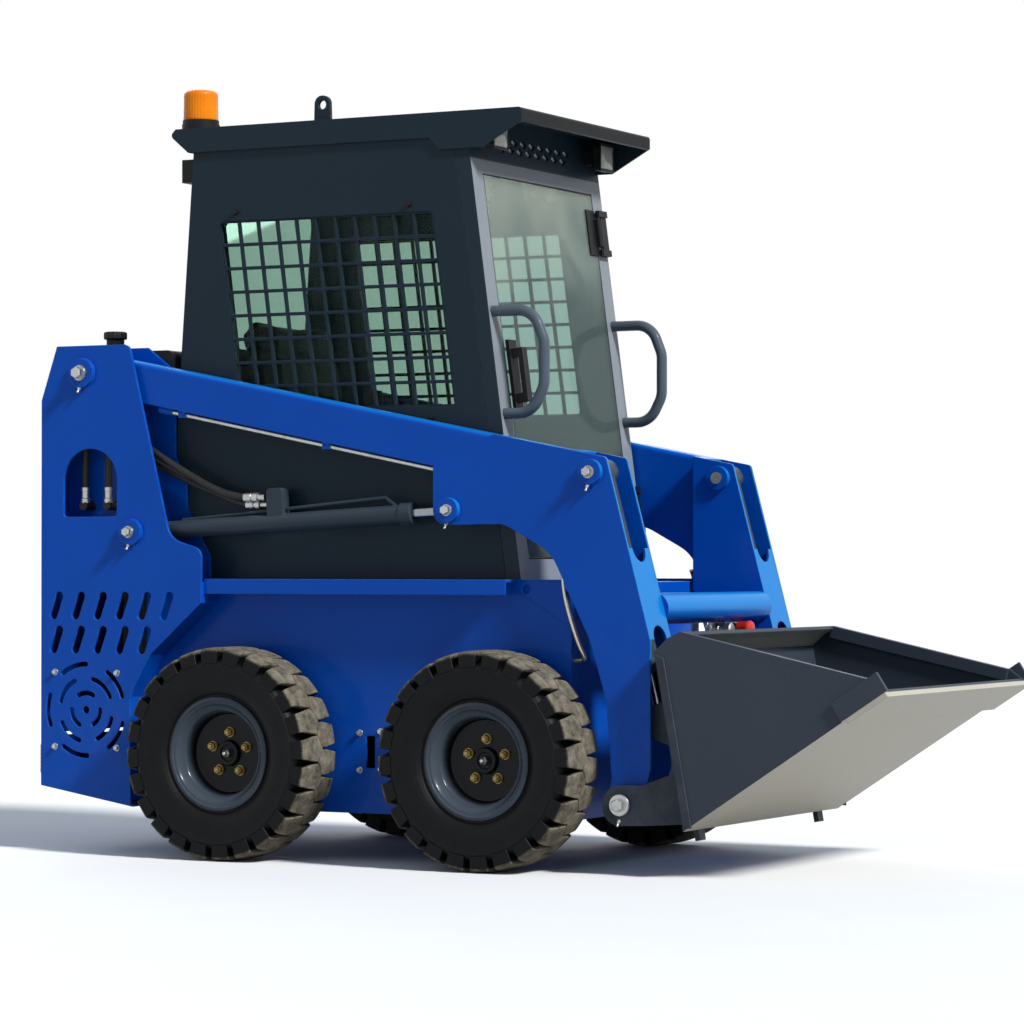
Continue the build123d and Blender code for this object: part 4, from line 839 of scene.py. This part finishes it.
CUP = [(0, 0.2), (49, 0.2), (50, 3), (49.6, 8), (49, 70), (48, 76), (45, 81), (39, 84.5), (28, 85.7),
       (0, 86)]
KNOB = [(0, 0), (25, 0), (26, 2), (26, 40), (28, 42), (32, 42), (34, 44), (34, 59), (32, 62.5), (27, 64),
        (0, 64)]
cup = turn(bmesh.new(), CUP, 144, flutes=36, depth=0.7, spin=upright(-628, -320, 2082))
beacon = piece("beacon_cup", cup, amber_plastic, "chassis", sharp=50)
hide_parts("beacon_lens")
knob = turn(bmesh.new(), KNOB, 120, flutes=20, depth=1.4, spin=upright(-934, -300, 1426))
cap = piece("filler_knob", knob, black_plastic, "chassis", sharp=30)
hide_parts("filler_cap")
print("beacon and cap:", len(beacon.data.polygons), "and", len(cap.data.polygons), "faces")

# %% Lamp glasses
LAMP_Y = 322
LAMP_Z = 1988
# x, y, z, half width, half height and the way out, of a front and a rear lamp
LAMP_FRONTS = ((343.5, LAMP_Y, LAMP_Z, 38, 32, 1), (-684, 304, 1939, 23, 28, -1))


def lamp_face(shape, x, y, z, half_y, half_z, out):
    """Fluted, slightly domed pane on an upright lamp front."""
    count = 18
    grid = {}
    for i in range(count + 1):
        for j in range(count + 1):
            u = 2 * i / count - 1
            v = 2 * j / count - 1
            bulge = 4 * (1 - u ** 4) * (1 - v ** 4) + 0.6 * (i % 2) * (abs(u) < 1)
            grid[i, j] = shape.verts.new(at(x + out * (1 + bulge), y + u * half_y, z + v * half_z))
    for i in range(count):
        for j in range(count):
            shape.faces.new([grid[i, j], grid[i + 1, j], grid[i + 1, j + 1], grid[i, j + 1]])
    rim = [(i, 0) for i in range(count)] + [(count, j) for j in range(count)]
    rim += [(i, count) for i in range(count, 0, -1)] + [(0, j) for j in range(count, 0, -1)]
    foot = [shape.verts.new(grid[k].co - Vector((out * 0.001, 0, 0))) for k in rim]
    for n, k in enumerate(rim):
        m = (n + 1) % len(rim)
        shape.faces.new([grid[k], grid[rim[m]], foot[m], foot[n]])
    shape.faces.new(foot)


panes = bmesh.new()
for side in (1, -1):
    for x, y, z, half_y, half_z, out in LAMP_FRONTS:
        lamp_face(panes, x, side * y, z, half_y, half_z, out)
glasses = piece("lamp_panes", panes, lamp_glass, "chassis", sharp=60)
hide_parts("work_lamp_lenses")

# %% Lamp frames
# the frame's bars: middle, half width and half height
BARS = ((0, 36.5, 44, 4.5), (0, -36.5, 44, 4.5), (41.5, 0, 2.5, 36), (-41.5, 0, 2.5, 36))


def boxy(shape, low, high):
    """Block between two drawn corners, added to a mesh under construction."""
    a = at(*low)
    b = at(*high)
    size = Matrix.Diagonal((*(b - a), 1))
    bmesh.ops.create_cube(shape, size=1, matrix=Matrix.Translation((a + b) / 2) @ size)


bezels = bmesh.new()
for side in (1, -1):
    for u, v, half_y, half_z in BARS:
        middle = side * LAMP_Y + u
        foot = (342, middle - half_y, LAMP_Z + v - half_z)
        head = (347, middle + half_y, LAMP_Z + v + half_z)
        boxy(bezels, foot, head)
piece("lamp_bezels", bezels, black_plastic, "chassis", rounding=1.5)

# %% [markdown]
# ## Seat pads
# The seat is two stuffed vinyl pads. Each starts as a shape a little smaller than its solid and is blown up
# as cloth with air inside, which gives the crown between the corners. A point may move only so far, and the
# pad stays within its solid but for a few millimetres. The sewn channels are pressed in afterwards, because
# they are finer than the cloth's mesh.

# %% Seat pad maker
MOST_MOVED = 0.024


def plump(name, outline, half, node, channels):
    """Stuffed pad from a side outline in metres; channels are (axis, place, width, depth) of sewn lines."""
    shape = bmesh.new()
    ends = [[shape.verts.new((x, y, z)) for x, z in outline] for y in (-half, half)]
    shape.faces.new(ends[0])
    shape.faces.new(ends[1])
    for i in range(len(outline)):
        j = (i + 1) % len(outline)
        shape.faces.new([ends[0][i], ends[0][j], ends[1][j], ends[1][i]])
    bmesh.ops.recalc_face_normals(shape, faces=shape.faces)
    bmesh.ops.bevel(shape, geom=shape.edges[:], offset=0.02, segments=3, affect="EDGES")
    mesh = bpy.data.meshes.new(name)
    shape.to_mesh(mesh)
    shape.free()
    pad = bpy.data.objects.new(name, mesh)
    scene.collection.objects.link(pad)
    grid = pad.modifiers.new("fine_grid", "REMESH")
    grid.mode = "VOXEL"
    grid.voxel_size = 0.006
    pad.data = bpy.data.meshes.new_from_object(pad.evaluated_get(bpy.context.evaluated_depsgraph_get()))
    pad.modifiers.clear()
    start = [v.co.copy() for v in pad.data.vertices]
    cloth = pad.modifiers.new("stuffing", "CLOTH")
    cloth.settings.use_pressure = True
    cloth.settings.uniform_pressure_force = 4
    cloth.settings.effector_weights.gravity = 0
    for step in range(1, 21):
        scene.frame_set(step)
    pad.data = bpy.data.meshes.new_from_object(pad.evaluated_get(bpy.context.evaluated_depsgraph_get()))
    pad.modifiers.clear()
    scene.frame_set(1)
    low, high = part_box(node)
    cover = bmesh.new()
    cover.from_mesh(pad.data)
    cover.normal_update()
    for v, was in zip(cover.verts, start):
        moved = v.co - was
        if moved.length > MOST_MOVED:
            v.co = was + moved.normalized() * MOST_MOVED
        for axis, place, width, depth in channels:
            press = depth * math.exp(-((v.co[axis] - place) / width) ** 2)
            v.co -= v.normal * press
        v.co = Vector([min(max(v.co[k], low[k] + 0.0005), high[k] + 0.004) for k in range(3)])
    cover.to_mesh(pad.data)
    cover.free()
    pad.data.polygons.foreach_set("use_smooth", [True] * len(pad.data.polygons))
    pad.data.materials.clear()
    pad.data.materials.append(seat_vinyl)
    pad.modifiers.new("smooth_cover", "SUBSURF").levels = 1
    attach(pad, "chassis")
    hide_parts(node)
    return pad


print("a pad's points move up to", MOST_MOVED, "m")

# %% Seat pads
shrink = 0.018
crease = 0.012
low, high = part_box("seat_cushion")
outline = [(low.x + shrink, low.z + 0.004), (high.x - shrink, low.z + 0.004),
           (high.x - shrink, high.z - 0.03), (low.x + shrink, high.z - shrink)]
seams = [(1, y, crease, crease) for y in (0.12, -0.12)]
pads = [plump("seat_cushion_pad", outline, high.y - shrink, "seat_cushion", seams)]
low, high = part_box("seat_back")
lean = high.x - low.x - 0.098
outline = [(high.x - shrink, low.z + shrink), (high.x - lean - shrink, high.z - shrink),
           (low.x + shrink, high.z - 0.02 - shrink), (high.x - 0.1 + shrink, low.z + shrink)]
seams = [(2, z, crease, crease) for z in (1.16, 1.29, 1.42)]
pads.append(plump("seat_back_pad", outline, high.y - shrink, "seat_back", seams))
print("pads:", [(p.name, len(p.data.vertices)) for p in pads])

# %% [markdown]
# ## Levers
# On each console stands a lever with a rubber bellows at its foot and a shaped grip. Real grips are shaped
# for the fingers. Behind the window a round one reads the same, so both pieces are turned.

# %% Levers
BELLOWS = [(0, 0), (40, 0), (42, 3), (40, 6), (33, 9), (36, 13), (34, 17), (27, 20), (30, 24), (28, 28),
           (21, 31), (23, 35), (20, 39), (13, 42), (0, 42)]
GRIP = [(0, 0), (18, 0), (22, 3), (24.5, 8), (25.5, 16), (24.6, 26), (25.6, 36), (24.6, 46), (25.6, 56),
        (24.8, 66), (26.5, 80), (27, 90), (24.5, 99), (17, 104), (0, 105.5)]
LEVER_X = -70
LEVER_Y = 300
soft = bmesh.new()
grips = bmesh.new()
for side in (1, -1):
    turn(soft, BELLOWS, 40, spin=upright(LEVER_X, side * LEVER_Y, 1090.2))
    turn(grips, GRIP, 40, spin=upright(LEVER_X, side * LEVER_Y, 1197))
piece("lever_bellows", soft, seal_rubber, "chassis", sharp=60)
piece("lever_grips", grips, black_plastic, "chassis", sharp=60)
print("levers: 2")

# %% [markdown]
# ## Door seal
# A thin rubber strip closes the gap round the glass door. A frame of four bars would have sharp mitres, so it
# is a pipe led round the corners. It lies in the leaning front, so its path is worked out from the slope of
# the door posts.

# %% Door seal
FOOT_X = 439
FOOT_Z = 795
HEAD_X = 286
HEAD_Z = 1924
LEAN = (FOOT_X - HEAD_X) / (HEAD_Z - FOOT_Z)
SLANT = math.hypot(1, LEAN)


def on_front(y, s, n):
    """Place on the cab's leaning front: across, up the slope and out of it, in drawn millimetres."""
    return (FOOT_X + (n - s * LEAN) / SLANT, y, FOOT_Z + (s + n * LEAN) / SLANT)


def flat_pipe(name, corners, radius, finish, body):
    """Closed strip round a rectangle with soft corners."""
    bend = 12
    spots = []
    for k, p in enumerate(corners):
        before = Vector(corners[k - 1])
        after = Vector(corners[(k + 1) % len(corners)])
        here = Vector(p)
        spots += [here + (before - here).normalized() * bend, here, here + (after - here).normalized() * bend]
    middle = (Vector(corners[0]) + Vector(corners[1])) / 2
    return pipe(name, [middle, *spots[3:], *spots[:3], middle], radius, finish, body)


edge_y = 325.5
edge_low = 40
edge_high = 1098.5
around = ((-edge_y, edge_low), (edge_y, edge_low), (edge_y, edge_high), (-edge_y, edge_high))
corners = [on_front(y, s, -3) for y, s in around]
seal = flat_pipe("door_seal", corners, 1.6, seal_rubber, "chassis")
print("door seal runs round", round(2 * (2 * edge_y + edge_high - edge_low)), "mm")

# %% [markdown]
# ## Vent screen
# Behind the diamond holes over the door lies a pale filter mat, which makes the holes read light. One thin
# plate behind the whole row looks the same as a pad in each hole.

# %% Vent screen
screen = bmesh.new()
around = ((-240, 1150), (240, 1150), (240, 1226), (-240, 1226))
mat = [on_front(y, s, n) for n in (-12, -9) for y, s in around]
knots = [screen.verts.new(at(*p)) for p in mat]
for face in ((0, 1, 2, 3), (4, 5, 6, 7), (0, 1, 5, 4), (1, 2, 6, 5), (2, 3, 7, 6), (3, 0, 4, 7)):
    screen.faces.new([knots[k] for k in face])
piece("vent_filter_mat", screen, filter_mat, "chassis", rounding=1)

# %% [markdown]
# ## Couplers at the cross tube
# Below the cross tube between the legs sit the quick couplers for hydraulic tools: plated bodies on a small
# bracket, one closed with a red dust cap. Real couplers come off a lathe, so these are turned too. Behind
# the leg, a pale pipe leads down the front of the body.

# %% Couplers and front pipes
COUPLER = [(0, -16), (13, -16), (13, 0), (18, 2), (18, 24), (16, 26), (16, 40), (19, 42), (19, 58),
           (15, 61), (0, 61)]
DUST_CAP = [(0, 40), (21, 40), (22, 42), (22, 66), (23.5, 68), (23.5, 76), (21, 80), (14, 82), (0, 82)]
FRONT_ROUTE = [(578, 396, 800), (579, 410, 782), (590, 414, 723), (611, 414, 655),
               (632, 412, 596), (642, 402, 572), (630, 388, 560), (598, 380, 560)]
bracket = bmesh.new()
bodies = bmesh.new()
caps = bmesh.new()
boxy(bracket, (796, 40, 616), (804, 230, 672))
piece("coupler_bracket", bracket, zinc_plate, "arms", rounding=3)
forward = Matrix.Rotation(math.radians(-90), 4, "Z")
for y, capped in ((82, False), (170, True)):
    seat = Matrix.Translation(at(790, y, 638)) @ forward
    turn(bodies, COUPLER, 32, spin=seat)
    if capped:
        turn(caps, DUST_CAP, 36, spin=seat)
bolts(bodies, [at(804, 126, z) for z in (629, 659)], (1, 0, 0), 13)
piece("coupler_bodies", bodies, zinc_plate, "arms", sharp=28)
piece("coupler_cap", caps, red_cap_plastic, "arms", sharp=40)
for name, side in SIDES:
    route = [(x, side * y, z) for x, y, z in FRONT_ROUTE]
    pipe(f"front_pipe_{name}", route, 6, pale_pipe, "chassis")
print("couplers: 2, front pipes: 2")

# %% [markdown]
# ## Trim
# Last come the flat and moulded bits: a folded strip along the bucket's rear edges, ribbed tail lamps, and
# the paddle of the rear door's latch. The real ones are boxes with soft edges, so blocks with a bevel do.

# %% Trim
STRIP = [(902, 584), (928, 574), (1008, 134), (984, 134)]
strips = bmesh.new()
for side in (1, -1):
    faces = [[strips.verts.new(at(x, side * y, z)) for x, z in STRIP] for y in (511.5, 516)]
    strips.faces.new(faces[0])
    strips.faces.new(faces[1])
    for i in range(4):
        j = (i + 1) % 4
        strips.faces.new([faces[0][i], faces[0][j], faces[1][j], faces[1][i]])
piece("bucket_rear_strips", strips, bucket_coat, "bucket", rounding=1.2)

lenses = bmesh.new()
ribs = bmesh.new()
for side in (1, -1):
    y = sorted((side * 402, side * 466))
    boxy(lenses, (-1081, y[0], 216), (-1062, y[1], 306))
    for k in range(7):
        boxy(ribs, (-1083, y[0] + 6, 226 + 11 * k), (-1080, y[1] - 6, 231 + 11 * k))
lamp = piece("tail_lamp_bodies", lenses, red_lens_plastic, "chassis", rounding=7)
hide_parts("tail_lamps")
piece("tail_lamp_ribs", ribs, red_lens_plastic, "chassis", rounding=1.4)

paddle = bmesh.new()
low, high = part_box("rear_door")
door_x = low.x * 1000 + DRAWN_ZERO
boxy(paddle, (door_x - 4, -314, 716), (door_x + 1, -286, 844))
boxy(paddle, (door_x - 16, -310, 730), (door_x - 3, -290, 790))
piece("rear_latch_paddle", paddle, black_plastic, "rear_door", rounding=3)
print("rear door spans X", round(low.x, 3), "to", round(high.x, 3))
